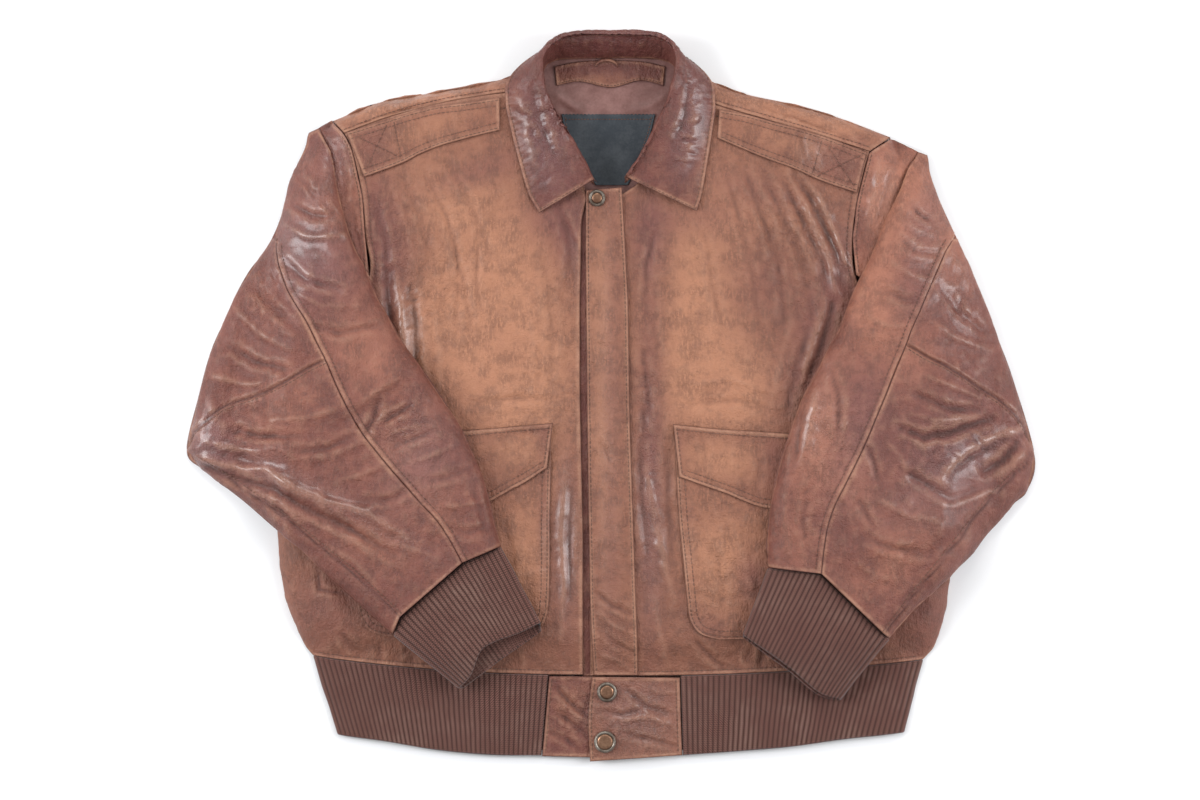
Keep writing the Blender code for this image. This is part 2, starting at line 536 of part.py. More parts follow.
def back():
    """Flat panel whose shoulders fold over to the seam in front."""
    share = FRONT_COLUMNS[:1] + FRONT_COLUMNS[3:]
    flat_rows = [0, 2, 4, 5, 6, 7, 8]
    seam_left = net((FRONT_LEFT_SIDE, FRONT_LEFT_CENTRE), [16], share, FRONT_LEFT_BOW)[0]
    seam_right = net((FRONT_RIGHT_SIDE, FRONT_RIGHT_CENTRE), [16], share, FRONT_RIGHT_BOW)[0]
    left = net((BACK_LEFT_SIDE, BACK_NECK_LEFT), flat_rows, share)
    right = net((BACK_RIGHT_SIDE, BACK_NECK_RIGHT), flat_rows, share)[:, ::-1]
    left_wrap = shoulder_rows(along(SHOULDER_FOLD_LEFT, share), seam_left)
    right_wrap = [row[::-1] for row in shoulder_rows(along(SHOULDER_FOLD_RIGHT, share), seam_right)]
    left = np.concatenate([with_height(left, 0.0), left_wrap])
    right = np.concatenate([with_height(right, 0.0), right_wrap])
    middle_share = np.linspace(0, 1, 4)[1:-1, None]
    middle = left[:, -1:] * (1 - middle_share) + right[:, :1] * middle_share
    points = np.concatenate([left, middle, right], 1)
    cells = np.ones((points.shape[0] - 1, points.shape[1] - 1))
    side = len(share) - 1
    cells[len(flat_rows) :, side : side + 3] = 0
    normal = -outward(points)
    normal[-1] = UP
    points = pulled_in(points, cells)
    points[:, :, 2] = np.where(np.abs(points[:, :, 2]) < 0.2, 0.0, points[:, :, 2])
    shell("back_panel", "leather_body", points, points - normal * BACK_WALL, cells)


def sleeve_net(outer, lower, main, inner, armhole):
    """Net of a whole sleeve, with its seams as lines of the net."""
    rows = np.arange(SLEEVE_ROWS + 1)
    cap_rows = np.minimum(rows, CAP_END_ROW)
    lines = [along(rail, rows) for rail in (outer, lower, main, inner)]
    lines.append(along(armhole, cap_rows))
    blocks = []
    for k, shares in enumerate((SLEEVE_STRIP, SLEEVE_ELBOW, SLEEVE_FRONT, SLEEVE_CAP)):
        even = np.linspace(shares[0], shares[-1], len(shares))
        tip = 1 - smooth(rows / 3)[:, None]
        share = (np.array(shares) * (1 - tip) + even * tip)[..., None]
        blocks.append(lines[k][:, None] * (1 - share) + lines[k + 1][:, None] * share)
    return np.concatenate(blocks, 1)


def sleeve(side, rails, lines):
    outer, _, _, inner, _ = rails
    xy = sleeve_net(*rails)
    rows, columns = xy.shape[0] - 1, xy.shape[1] - 1
    main_column = len(SLEEVE_STRIP) + len(SLEEVE_ELBOW)
    edge_column = main_column + len(SLEEVE_FRONT)
    beyond = [2.5 * np.array(rail[-1][1:]) - 1.5 * np.array(rail[-3][1:]) for rail in (outer, inner)]
    outline = [point[1:] for point in outer] + beyond + [point[1:] for point in inner[::-1]]
    drape = drape_height(xy)

    puff = SLEEVE_RISE * rolled(inside(xy, outline), SLEEVE_ROLL)
    puff *= (0.3 + 0.7 * smooth(np.arange(rows + 1) / 3))[:, None]
    puff[:, 0] = 0.0
    puff[:, edge_column] = 0.0
    full = smooth(inside(xy, outline) / 22)
    top = with_height(xy, drape + LEATHER + SLEEVE_GAP + puff + folds(xy, lines) * full)
    front = np.zeros((rows, edge_column))
    front[:MAIN_SEAM_ROW] = 1
    front[:, main_column:] = 1
    elbow = np.zeros((rows, edge_column))
    elbow[MAIN_SEAM_ROW:, :main_column] = 1
    end = np.append(beyond[0] + beyond[1] - xy[-1, 0] - xy[-1, edge_column], 0.0)
    end /= np.linalg.norm(end)
    top = top[:, : edge_column + 1]
    laid(f"sleeve_front_{side}", "leather_sleeve", top, LEATHER, front, end)
    laid(f"sleeve_elbow_{side}", "leather_sleeve", top, LEATHER, elbow, end)

    under = np.ones((rows, columns))
    under[CAP_END_ROW:, edge_column:] = 0
    step = np.clip((np.arange(columns + 1) - edge_column) / (columns - edge_column), 0, 1)[None, :]
    held = 1 - smooth((np.arange(rows + 1) - 4) / 3)[:, None]
    low = smooth(step) * held
    face = (drape + LEATHER) * (1 - low) + body_height(xy) * low
    points = pulled_in(with_height(xy, face), under)
    shell(f"sleeve_under_{side}", "leather_sleeve", points, points - [0, 0, LEATHER], under)


def cuff(name, joint, hem, under_hem):
    """Flattened knitted tube, open at the hem, its ribs raised on the upper layer."""
    top_share = np.linspace(0, 1, 2 * CUFF_RIBS + 1)
    low_share = np.array([0.985, 0.95, 0.75, 0.5, 0.25, 0.05, 0.015])
    low_height = np.array([1.5, 0, 0, 0, 0, 0, 1.5])
    rows = np.linspace(0.008, 1, 4)[:, None, None]
    top = straight(joint, top_share) * (1 - rows) + along(hem, top_share) * rows
    low = straight(joint, low_share) * (1 - rows) + along(under_hem, low_share) * rows
    crown = 6 + (CUFF_RISE - 6) * np.sqrt(1 - np.abs(2 * top_share - 1) ** 6)
    top = with_height(top, drape_height(top) + crown)
    low = with_height(low, drape_height(low) + low_height)
    plain = np.concatenate([top, low], 1)
    axis = np.append(hem[0][1:] + np.array(hem[-1][1:]) - joint[0][1:] - np.array(joint[-1][1:]), 0.0)
    normal = square_to(outward(plain, ring=True), axis / np.linalg.norm(axis))
    ribs = np.zeros(plain.shape[1])
    ribs[1 : len(top_share) : 2] = RIB_RAISE
    shell(name, "knit", plain + normal * ribs[:, None], plain - normal * RIB_WALL, ring=True)


def band(name, side, centre, bow, reach, edge):
    """Ribbed waistband below a front panel, rolled to the table at the side."""
    share = np.linspace(0, 1, 2 * BAND_RIBS + 1)
    rows = np.linspace(0, 1, 3)[:, None, None]
    top = net((side, centre), [0], share * reach, bow)[0] + [0, 2 * SEAM_HALF]
    xy = top * (1 - rows) + along(edge, share) * rows
    plain = with_height(xy, body_height(xy))
    normal = square_to(outward(plain), [0.0, 1.0, 0.0])
    plain[:, 0, 2] = 0.0
    ribs = np.zeros(len(share))
    ribs[1::2] = RIB_RAISE
    shell(name, "knit", plain + normal * ribs[:, None], plain - normal * RIB_WALL)


def band_back():
    """Back of the waistband, flat on the table."""
    left = [(0, 311 + BAND_BACK_INSET, 657), (1, 327 + BAND_BACK_INSET, 708), (2, 337 + BAND_BACK_INSET, 736)]
    right = [(0, 925 - BAND_BACK_INSET, 662), (1, 912 - BAND_BACK_INSET, 708), (2, 905 - BAND_BACK_INSET, 735)]
    xy = net((left, right), np.linspace(0, 2, 4), np.linspace(0, 1, 13), [(0, 18), (2, 18)])
    outer = with_height(xy, RIB_WALL)
    shell("waistband_back", "knit", outer, outer - [0, 0, RIB_WALL])


def tabs():
    xy = net((TAB_LEFT_START, TAB_LEFT_END), [0, 0.5, 1], np.linspace(0, 1, 4))
    outer = with_height(xy, body_height(xy))
    shell("tab_left", "leather_body", outer, outer - [0, 0, LEATHER])
    xy = net((TAB_RIGHT_START, TAB_RIGHT_END), [0, 0.5, 1, 1.5, 2], np.linspace(0, 1, 8))
    over = 1 - smooth((xy[..., 0] - 640) / 38)
    outer = with_height(xy, body_height(xy) + (LAYER_GAP + TRIM_LEATHER) * over)
    shell("tab_right", "leather_front", outer, outer - [0, 0, TRIM_LEATHER])


def trim():
    xy = net((PLACKET_LEFT, PLACKET_RIGHT), range(10), [0, 0.5, 1])
    on_body("placket", "leather_front", xy, TRIM_LEATHER, LAYER_GAP)
    for side, upper, lower in (
        ("left", EPAULET_LEFT_UPPER, EPAULET_LEFT_LOWER),
        ("right", EPAULET_RIGHT_UPPER, EPAULET_RIGHT_LOWER),
    ):
        xy = net((upper, lower), np.linspace(0, 5, 11), np.linspace(0, 1, 5))
        on_body(f"epaulet_{side}", "leather_front", xy, TRIM_LEATHER, LAYER_GAP)
    for side, inner, outer, top, edge in (
        ("left", POCKET_LEFT_INNER, POCKET_LEFT_OUTER, FLAP_LEFT_TOP, FLAP_LEFT_EDGE),
        ("right", POCKET_RIGHT_INNER, POCKET_RIGHT_OUTER, FLAP_RIGHT_TOP, FLAP_RIGHT_EDGE),
    ):
        xy = net((inner, outer), range(8), np.linspace(0, 1, 9))
        on_body(f"pocket_{side}", "leather_front", xy, LEATHER, LAYER_GAP)
        share = np.linspace(0, 1, 9)
        rows = np.linspace(0, 1, 4)[:, None, None]
        xy = along(top, share) * (1 - rows) + along(edge, share) * rows
        on_body(f"flap_{side}", "leather_front", xy, LEATHER, LAYER_GAP * 2 + LEATHER)


def collar():
    """Fall, roll and stand in one wall that bends round the neck."""
    stations = np.arange(len(COLLAR), dtype=float)
    outer, roll, base = (
        along([(k, *row[part]) for k, row in enumerate(COLLAR)], stations) for part in range(3)
    )
    out = outer - base
    out[:, 2] = 0
    out /= np.linalg.norm(out, axis=1, keepdims=True)
    up = np.array([0, 0, 1.0])
    fall = outer + (roll - outer) * 0.5 + up * 2.0
    shoulder = roll + out * 5.0 - up * 1.5
    brow = roll - out * 2.0 - up * 3.5
    low = roll * 0.35 + base * 0.65
    low[:, 2] = roll[:, 2] * 0.4 + base[:, 2] * 0.6
    section = np.stack([outer, fall, shoulder, roll + up * 0.5, brow, low, base])
    normal = normals(section)
    if normal[1, :, 2].sum() < 0:
        normal = -normal
    shell("collar", "leather_body", section, section - normal * COLLAR_WALL)


def neck():
    xy = net((LINING_LEFT, LINING_RIGHT), range(6), np.linspace(0, 1, 6))
    outer = with_height(xy, BACK_WALL + LAYER_GAP + 1.0)
    shell("neck_lining", "satin", outer, outer - [0, 0, 1.0])
    share = np.linspace(0, 1, 9)
    rows = np.linspace(0, 1, 3)[:, None, None]
    xy = along(FACING_TOP, share) * (1 - rows) + along(FACING_EDGE, share) * rows
    outer = with_height(xy, BACK_WALL + 2 * LAYER_GAP + 2.2)
    shell("neck_facing", "leather_body", outer, outer - [0, 0, 1.2])
    xy = net((LABEL_LEFT, LABEL_RIGHT), range(4), np.linspace(0, 1, 5))
    outer = with_height(xy, BACK_WALL + 2 * LAYER_GAP + 2.0)
    shell("neck_label", "label", outer, outer - [0, 0, 1.0])


def snap(name, x, y, radius, base):
    """Low domed cap with a rolled rim."""
    bm = bmesh.new()
    bmesh.ops.create_cone(
        bm, cap_ends=True, segments=16, radius1=radius * MM, radius2=radius * MM, depth=SNAP_HEIGHT * MM
    )
    top = [face for face in bm.faces if face.normal.z > 0.9]
    bmesh.ops.inset_region(bm, faces=top, thickness=1.6 * MM, depth=0.0)
    bmesh.ops.inset_region(bm, faces=top, thickness=0.8 * MM, depth=-0.7 * MM)
    bmesh.ops.inset_region(bm, faces=top, thickness=2.5 * MM, depth=0.5 * MM)
    bmesh.ops.triangulate(bm, faces=bm.faces)
    made = add_object(name, "snap", bm)
    place = to_table(np.array([x, y, base + SNAP_HEIGHT / 2]))
    made.location = [float(v) for v in place]
    return made


def snaps():
    for name, x, y, radius in SNAPS:
        ring = np.array([(x + radius * math.cos(a), y + radius * math.sin(a)) for a in np.linspace(0, 6.2, 12)])
        base = body_height(ring).max() + LAYER_GAP + TRIM_LEATHER + 0.35
        snap(name, x, y, radius, base)


def main():
    for item in list(bpy.data.objects):
        bpy.data.objects.remove(item)
    back()
    band_back()
    neck()
    fronts()
    trim()
    band("waistband_left", FRONT_LEFT_SIDE, FRONT_LEFT_CENTRE, FRONT_LEFT_BOW, BAND_LEFT_REACH, BAND_LEFT_EDGE)
    band("waistband_right", FRONT_RIGHT_SIDE, FRONT_RIGHT_CENTRE, FRONT_RIGHT_BOW, BAND_RIGHT_REACH, BAND_RIGHT_EDGE)
    tabs()
    collar()
    sleeve("left", (LEFT_OUTER, LEFT_LOWER, LEFT_MAIN, LEFT_INNER, LEFT_ARMHOLE), LEFT_SLEEVE_FOLDS)
    sleeve("right", (RIGHT_OUTER, RIGHT_LOWER, RIGHT_MAIN, RIGHT_INNER, RIGHT_ARMHOLE), RIGHT_SLEEVE_FOLDS)
    cuff("cuff_left", LEFT_CUFF_JOINT, LEFT_CUFF_HEM, LEFT_CUFF_UNDER)
    cuff("cuff_right", RIGHT_CUFF_JOINT, RIGHT_CUFF_HEM, RIGHT_CUFF_UNDER)
    snaps()


main()
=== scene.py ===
"""Looks of a worn leather flight jacket, laid flat on its back with both sleeves folded across the front.

Every piece of cloth is a net of points in table millimetres: x runs to the right and y runs from the
collar towards the hem, both as seen from straight above. The same form functions carry all pieces, so that
layers follow each other, and a finer relief of creases, seams and puckers is pressed into each of them.
"""

import logging
import math
from dataclasses import dataclass, field
from enum import Enum, Flag, auto

import bmesh
import bpy
import numpy as np
from mathutils import Matrix, Vector
from mathutils.bvhtree import BVHTree


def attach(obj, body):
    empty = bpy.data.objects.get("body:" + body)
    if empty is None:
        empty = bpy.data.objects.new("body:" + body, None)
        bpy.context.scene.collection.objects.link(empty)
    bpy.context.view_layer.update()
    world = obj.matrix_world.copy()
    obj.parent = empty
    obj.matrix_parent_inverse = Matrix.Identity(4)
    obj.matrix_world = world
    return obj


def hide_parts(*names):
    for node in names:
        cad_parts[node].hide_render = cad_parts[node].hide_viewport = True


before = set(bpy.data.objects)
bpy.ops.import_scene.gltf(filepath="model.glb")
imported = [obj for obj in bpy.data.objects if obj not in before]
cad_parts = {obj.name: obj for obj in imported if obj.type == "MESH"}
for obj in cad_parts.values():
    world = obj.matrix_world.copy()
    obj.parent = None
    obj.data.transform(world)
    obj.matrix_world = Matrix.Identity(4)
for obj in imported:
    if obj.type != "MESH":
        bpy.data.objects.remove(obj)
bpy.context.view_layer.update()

LOG = logging.getLogger("jacket")
Array = np.ndarray
Line = tuple[tuple[float, ...], ...]

MM = 0.001
TABLE_CENTRE = (610.75, 397.0)
EDGE_STEPS = (0.0, 0.3, 0.8, 1.5, 2.4)
EVERYWHERE = 1e3
EDGE_CALM = 2.5
CREVICE_DEPTH = 1.5
RIDGE_HEIGHT = 1.2
FINE = 2.3
SMALLEST_SHEET = 0.01
CAP_ROWS = 70
PUCKER_LENGTH = 6.2
PUCKER_HEIGHT = 0.2
PUCKER_REACH = 4.5
GROOVE_REACH = 1.25
DROP_HEIGHT = 90.0
STITCH_SEED = 900
WOBBLE_ALONG = 0.15
WOBBLE_ACROSS = 0.12


class Rim(Flag):
    """Borders of a net where the cloth's edge is turned and rounded."""

    NONE = 0
    FIRST_ROW = auto()
    LAST_ROW = auto()
    FIRST_COLUMN = auto()
    LAST_COLUMN = auto()
    ROWS = FIRST_ROW | LAST_ROW
    COLUMNS = FIRST_COLUMN | LAST_COLUMN
    ALL = ROWS | COLUMNS


class Side(Enum):
    """Half of the jacket, as seen in front of the viewer."""

    LEFT = "left"
    RIGHT = "right"


class PatchKind(Enum):
    """What a soft patch does to the leather under it."""

    TAN = 0
    # Plum patches: a purple-brown tone, partly painted shade in hollows and painted purplish sheen.
    PLUM = 1
    SHINE = 2
    CRINKLE = 3


# ---------------------------------------------------------------- curves and fields


def along(points: Line, at: Array) -> Array:
    """Reads a smooth curve.

    Args:
        points: Control points (t, a, b, ...).
        at: Values of t to read.

    Returns:
        The values at each t, as the last axis.
    """
    data = np.array(points, float)
    t, values = data[:, 0], data[:, 1:]
    at = np.asarray(at, float)
    if len(t) < 3:
        return np.stack([np.interp(at, t, v) for v in values.T], -1)
    slope = np.stack([np.gradient(v, t) for v in values.T], -1)
    k = np.clip(np.searchsorted(t, at, side="right") - 1, 0, len(t) - 2)
    step = (t[k + 1] - t[k])[..., None]
    u = ((at - t[k]) / (t[k + 1] - t[k]))[..., None]
    start = values[k] * (2 * u**3 - 3 * u**2 + 1) + slope[k] * step * (u**3 - 2 * u**2 + u)
    end = values[k + 1] * (3 * u**2 - 2 * u**3) + slope[k + 1] * step * (u**3 - u**2)
    return start + end


def straight(points: Line, at: Array) -> Array:
    """Reads a polyline (t, a, b) at the values of t in at."""
    data = np.array(points, float)
    return np.stack([np.interp(at, data[:, 0], v) for v in data[:, 1:].T], -1)


def smooth(value: Array) -> Array:
    """Eases a value from 0 to 1."""
    value = np.clip(value, 0.0, 1.0)
    return value * value * (3 - 2 * value)


def rolled(distance: Array, reach: float) -> Array:
    """Quarter of an ellipse: 0 at the edge, 1 once the distance passes reach."""
    return np.sqrt(1 - (1 - np.clip(distance / reach, 0.0, 1.0)) ** 2)


def to_line(xy: Array, line: Line | Array) -> tuple[Array, Array]:
    """Measures points against a polyline.

    Args:
        xy: Points, with x and y as the last axis.
        line: Corners of the polyline.

    Returns:
        The distance to the line, and how far along it the nearest place is, in millimetres.
    """
    line = np.array(line, float)[:, :2]
    start, step = line[:-1], np.diff(line, axis=0)
    length = np.linalg.norm(step, axis=1)
    before = np.concatenate([[0], np.cumsum(length)[:-1]])
    best = np.full(xy.shape[:-1], 1e9)
    place = np.zeros(xy.shape[:-1])
    for a, s, n, b in zip(start, step, length, before):
        offset = xy - a
        u = np.clip((offset * s).sum(-1) / (n * n), 0.0, 1.0)
        away = np.linalg.norm(offset - u[..., None] * s, axis=-1)
        nearer = away < best
        best = np.where(nearer, away, best)
        place = np.where(nearer, b + u * n, place)
    return best, place


def inside(xy: Array, outline: Line | Array) -> Array:
    """Signed distance to a closed outline, positive inside.

    Args:
        xy: Points, with x and y as the last axis.
        outline: Corners of the outline.

    Returns:
        The distance of each point.
    """
    ring = np.array(list(outline) + [outline[0]], float)
    count = np.zeros(xy.shape[:-1], int)
    px, py = xy[..., 0], xy[..., 1]
    for (x0, y0), (x1, y1) in zip(ring[:-1], ring[1:]):
        if y0 == y1:
            continue
        count += ((y0 > py) != (y1 > py)) & (px < x0 + (py - y0) * (x1 - x0) / (y1 - y0))
    return np.where(count % 2 == 1, 1.0, -1.0) * to_line(xy, ring)[0]


def beside(line: Line | Array, offset: float) -> Array:
    """A line moved sideways, to its right where offset is positive, as it runs on the table."""
    line = np.array(line, float)[:, :2]
    run = np.gradient(line, axis=0)
    run /= np.linalg.norm(run, axis=1, keepdims=True)
    return line + offset * np.stack([-run[:, 1], run[:, 0]], -1)


def curve(points: Line, start: float, stop: float, count: int = 60) -> Array:
    """Points of a rail from one row to another."""
    return along(points, np.linspace(start, stop, count))


@dataclass(frozen=True)
class Mottle:
    """Smooth random field that is the same on each run."""

    size: float
    seed: int
    turn: float = 0.0
    stretch: float = 1.0

    def at(self, xy: Array) -> Array:
        """Reads the field, from -1 to 1, at points on the table.

        Args:
            xy: Points, with x and y as the last axis.

        Returns:
            The value at each point.
        """
        c, s = math.cos(self.turn), math.sin(self.turn)
        u = (xy[..., 0] * c + xy[..., 1] * s) / (self.size * self.stretch) + 17.3
        v = (xy[..., 1] * c - xy[..., 0] * s) / self.size + 9.1
        table = np.random.default_rng(self.seed).uniform(-1, 1, (64, 64))
        i, j = np.floor(u).astype(int), np.floor(v).astype(int)
        fu, fv = smooth(u - i), smooth(v - j)
        i0, i1, j0, j1 = i % 64, (i + 1) % 64, j % 64, (j + 1) % 64
        low = table[i0, j0] * (1 - fu) + table[i1, j0] * fu
        high = table[i0, j1] * (1 - fu) + table[i1, j1] * fu
        return low * (1 - fv) + high * fv

    def cracks(self, xy: Array, sharp: float = 4.0) -> Array:
        """Narrow lines that wander where the field changes sign, from 0 to 1."""
        bend = Mottle(self.size * 2.2, self.seed + 1).at(xy)
        other = Mottle(self.size * 1.7, self.seed + 2).at(xy)
        moved = xy + self.size * 0.8 * np.stack([bend, other], -1)
        return (1 - np.abs(self.at(moved))) ** sharp


@dataclass(frozen=True)
class Crease:
    """A soft ridge, or a trough with raised lips, pressed into the leather along a line."""

    line: Line
    width: float
    height: float

    def relief(self, xy: Array) -> Array:
        """Height that the crease adds at points on the table.

        Args:
            xy: Points, with x and y as the last axis.

        Returns:
            The height at each point.
        """
        near, place = to_line(xy, self.line)
        whole = float(np.linalg.norm(np.diff(np.array(self.line), axis=0), axis=1).sum())
        fade = np.sqrt(np.clip(np.sin(np.pi * np.clip(place / whole, 0, 1)) + 0.15, 0, 1))
        wander = 1 + 0.25 * Mottle(9.0, 5).at(xy)
        d = near * wander / self.width
        if self.height > 0:
            return self.height * fade * np.exp(-(d**2))
        lips = 0.4 * np.exp(-(((d - 1.9) / 1.1) ** 2))
        return self.height * fade * (np.exp(-(d**2)) - lips)


@dataclass(frozen=True)
class Patch:
    """A soft oval patch of tan tone, of plum tone with painted shade and sheen, of polish or of crinkles."""

    patch_kind: PatchKind
    x: float
    y: float
    reach_x: float
    reach_y: float
    turn: float
    amount: float

    def at(self, xy: Array) -> Array:
        """Amount of the patch at points on the table, with an uneven edge.

        Args:
            xy: Points, with x and y as the last axis.

        Returns:
            The amount at each point.
        """
        a = math.radians(self.turn)
        dx, dy = xy[..., 0] - self.x, xy[..., 1] - self.y
        u = (dx * math.cos(a) + dy * math.sin(a)) / self.reach_x
        v = (dy * math.cos(a) - dx * math.sin(a)) / self.reach_y
        ragged = 1 + 0.22 * Mottle(22.0, 31).at(xy) + 0.12 * Mottle(8.0, 33).at(xy)
        return self.amount * np.exp(-((u * u + v * v) * ragged))


def pressed(*rows: tuple[float, ...]) -> tuple[Crease, ...]:
    """Creases from rows of numbers: x and y of each point, then the width and the height."""
    return tuple(Crease(tuple(zip(row[:-2:2], row[1:-2:2])), row[-2], row[-1]) for row in rows)


def in_patches(**rows: tuple[tuple[float, ...], ...]) -> tuple[Patch, ...]:
    """Patches under the name of each kind, from rows of x, y, both reaches, turn and amount."""
    return tuple(Patch(PatchKind[name.upper()], *row) for name, some in rows.items() for row in some)


def numbered(*values: float) -> Line:
    """Rail of (row, x, y) through points given as x and y in turn, one for each row from 0."""
    return tuple((row, *point) for row, point in enumerate(zip(values[::2], values[1::2])))


def relief(xy: Array, creases: tuple[Crease, ...]) -> Array:
    """Sum of the creases at points on the table."""
    total = np.zeros(xy.shape[:-1])
    for crease in creases:
        total += crease.relief(xy)
    return total


def stitched(xy: Array, lines: list[Array], depth: float = 0.55) -> Array:
    """Groove of each line of stitching, and the puckers on both sides of it.

    Args:
        xy: Points, with x and y as the last axis.
        lines: Lines of stitching.
        depth: Depth of the groove.

    Returns:
        The height at each point.
    """
    total = np.zeros(xy.shape[:-1])
    for line in lines:
        near, place = to_line(xy, line)
        wave = np.sin(place * (2 * np.pi / PUCKER_LENGTH) + 2.5 * Mottle(14.0, 71).at(xy))
        groove = -depth * np.exp(-((near / GROOVE_REACH) ** 2))
        total += groove + PUCKER_HEIGHT * wave * np.exp(-((near / PUCKER_REACH) ** 2))
    return total


def spaced(length: float, step: float, first: bool, last: bool) -> Array:
    """Shares from 0 to 1 at an even spacing, crowded at the chosen ends.

    Args:
        length: Whole length in millimetres.
        step: Spacing in millimetres.
        first: Whether the first end is crowded.
        last: Whether the last end is.

    Returns:
        The shares.
    """
    steps = np.array(EDGE_STEPS)
    low = steps if first else steps[:1]
    high = length - (steps if last else steps[:1])[::-1]
    count = max(2, int(round((high[0] - low[-1]) / step)))
    middle = np.linspace(low[-1], high[0], count + 1)[1:-1]
    return np.concatenate([low, middle, high]) / length


# ---------------------------------------------------------------- nets and cloth


@dataclass
class Net:
    """Rows and columns of points, in table millimetres, that cloth is laid on."""

    points: Array
    ring: bool = False
    down: bool = False

    def normals(self) -> Array:
        """Unit normals on the side that shows."""
        p = self.points
        rows = np.gradient(p, axis=0)
        if self.ring:
            columns = (np.roll(p, -1, 1) - np.roll(p, 1, 1)) / 2
        else:
            columns = np.gradient(p, axis=1)
        normal = np.cross(rows, columns)
        normal /= np.maximum(np.linalg.norm(normal, axis=-1, keepdims=True), 1e-9)
        if self.ring:
            away = p - p.mean(1, keepdims=True)
            return normal if (normal * away).sum() > 0 else -normal
        up = normal[..., 2].sum() > 0
        return normal if up != self.down else -normal

    def lengths(self) -> tuple[Array, Array]:
        """Distance of each point from the first row and from the first column, over the net."""
        rows = np.linalg.norm(np.diff(self.points, axis=0), axis=-1)
        columns = np.linalg.norm(np.diff(self.points, axis=1), axis=-1)
        return (
            np.concatenate([np.zeros_like(rows[:1]), np.cumsum(rows, 0)], 0),
            np.concatenate([np.zeros_like(columns[:, :1]), np.cumsum(columns, 1)], 1),
        )

    def edge(self, rim: Rim) -> Array:
        """Distance to the nearest chosen border.

        Args:
            rim: Borders that count.

        Returns:
            The distance of each point.
        """
        v, u = self.lengths()
        near = np.full(v.shape, EVERYWHERE)
        if Rim.FIRST_ROW in rim:
            near = np.minimum(near, v)
        if Rim.LAST_ROW in rim:
            near = np.minimum(near, v[-1:] - v)
        if Rim.FIRST_COLUMN in rim:
            near = np.minimum(near, u)
        if Rim.LAST_COLUMN in rim:
            near = np.minimum(near, u[:, -1:] - u)
        return near

    def cut(self, used: Array | None) -> tuple[float, float, float]:
        """Width, length and area in metres of the cloth before it was laid, over the used cells.

        Args:
            used: Cells that are cloth, or nothing where all are.

        Returns:
            The width, length and area.
        """
        a = self.points[:-1, :-1]
        b = self.points[1:, :-1]
        c = self.points[1:, 1:]
        d = self.points[:-1, 1:]
        cell = (np.linalg.norm(np.cross(b - a, c - a), axis=-1) + np.linalg.norm(np.cross(c - a, d - a), axis=-1)) / 2
        v, u = self.lengths()
        wide, long = np.diff(u, axis=1)[:-1], np.diff(v, axis=0)[:, :-1]
        use = np.ones(cell.shape) if used is None else used
        return (
            float((wide * use).sum(1).max()) * MM,
            float((long * use).sum(0).max()) * MM,
            float((cell * use).sum()) * MM * MM,
        )


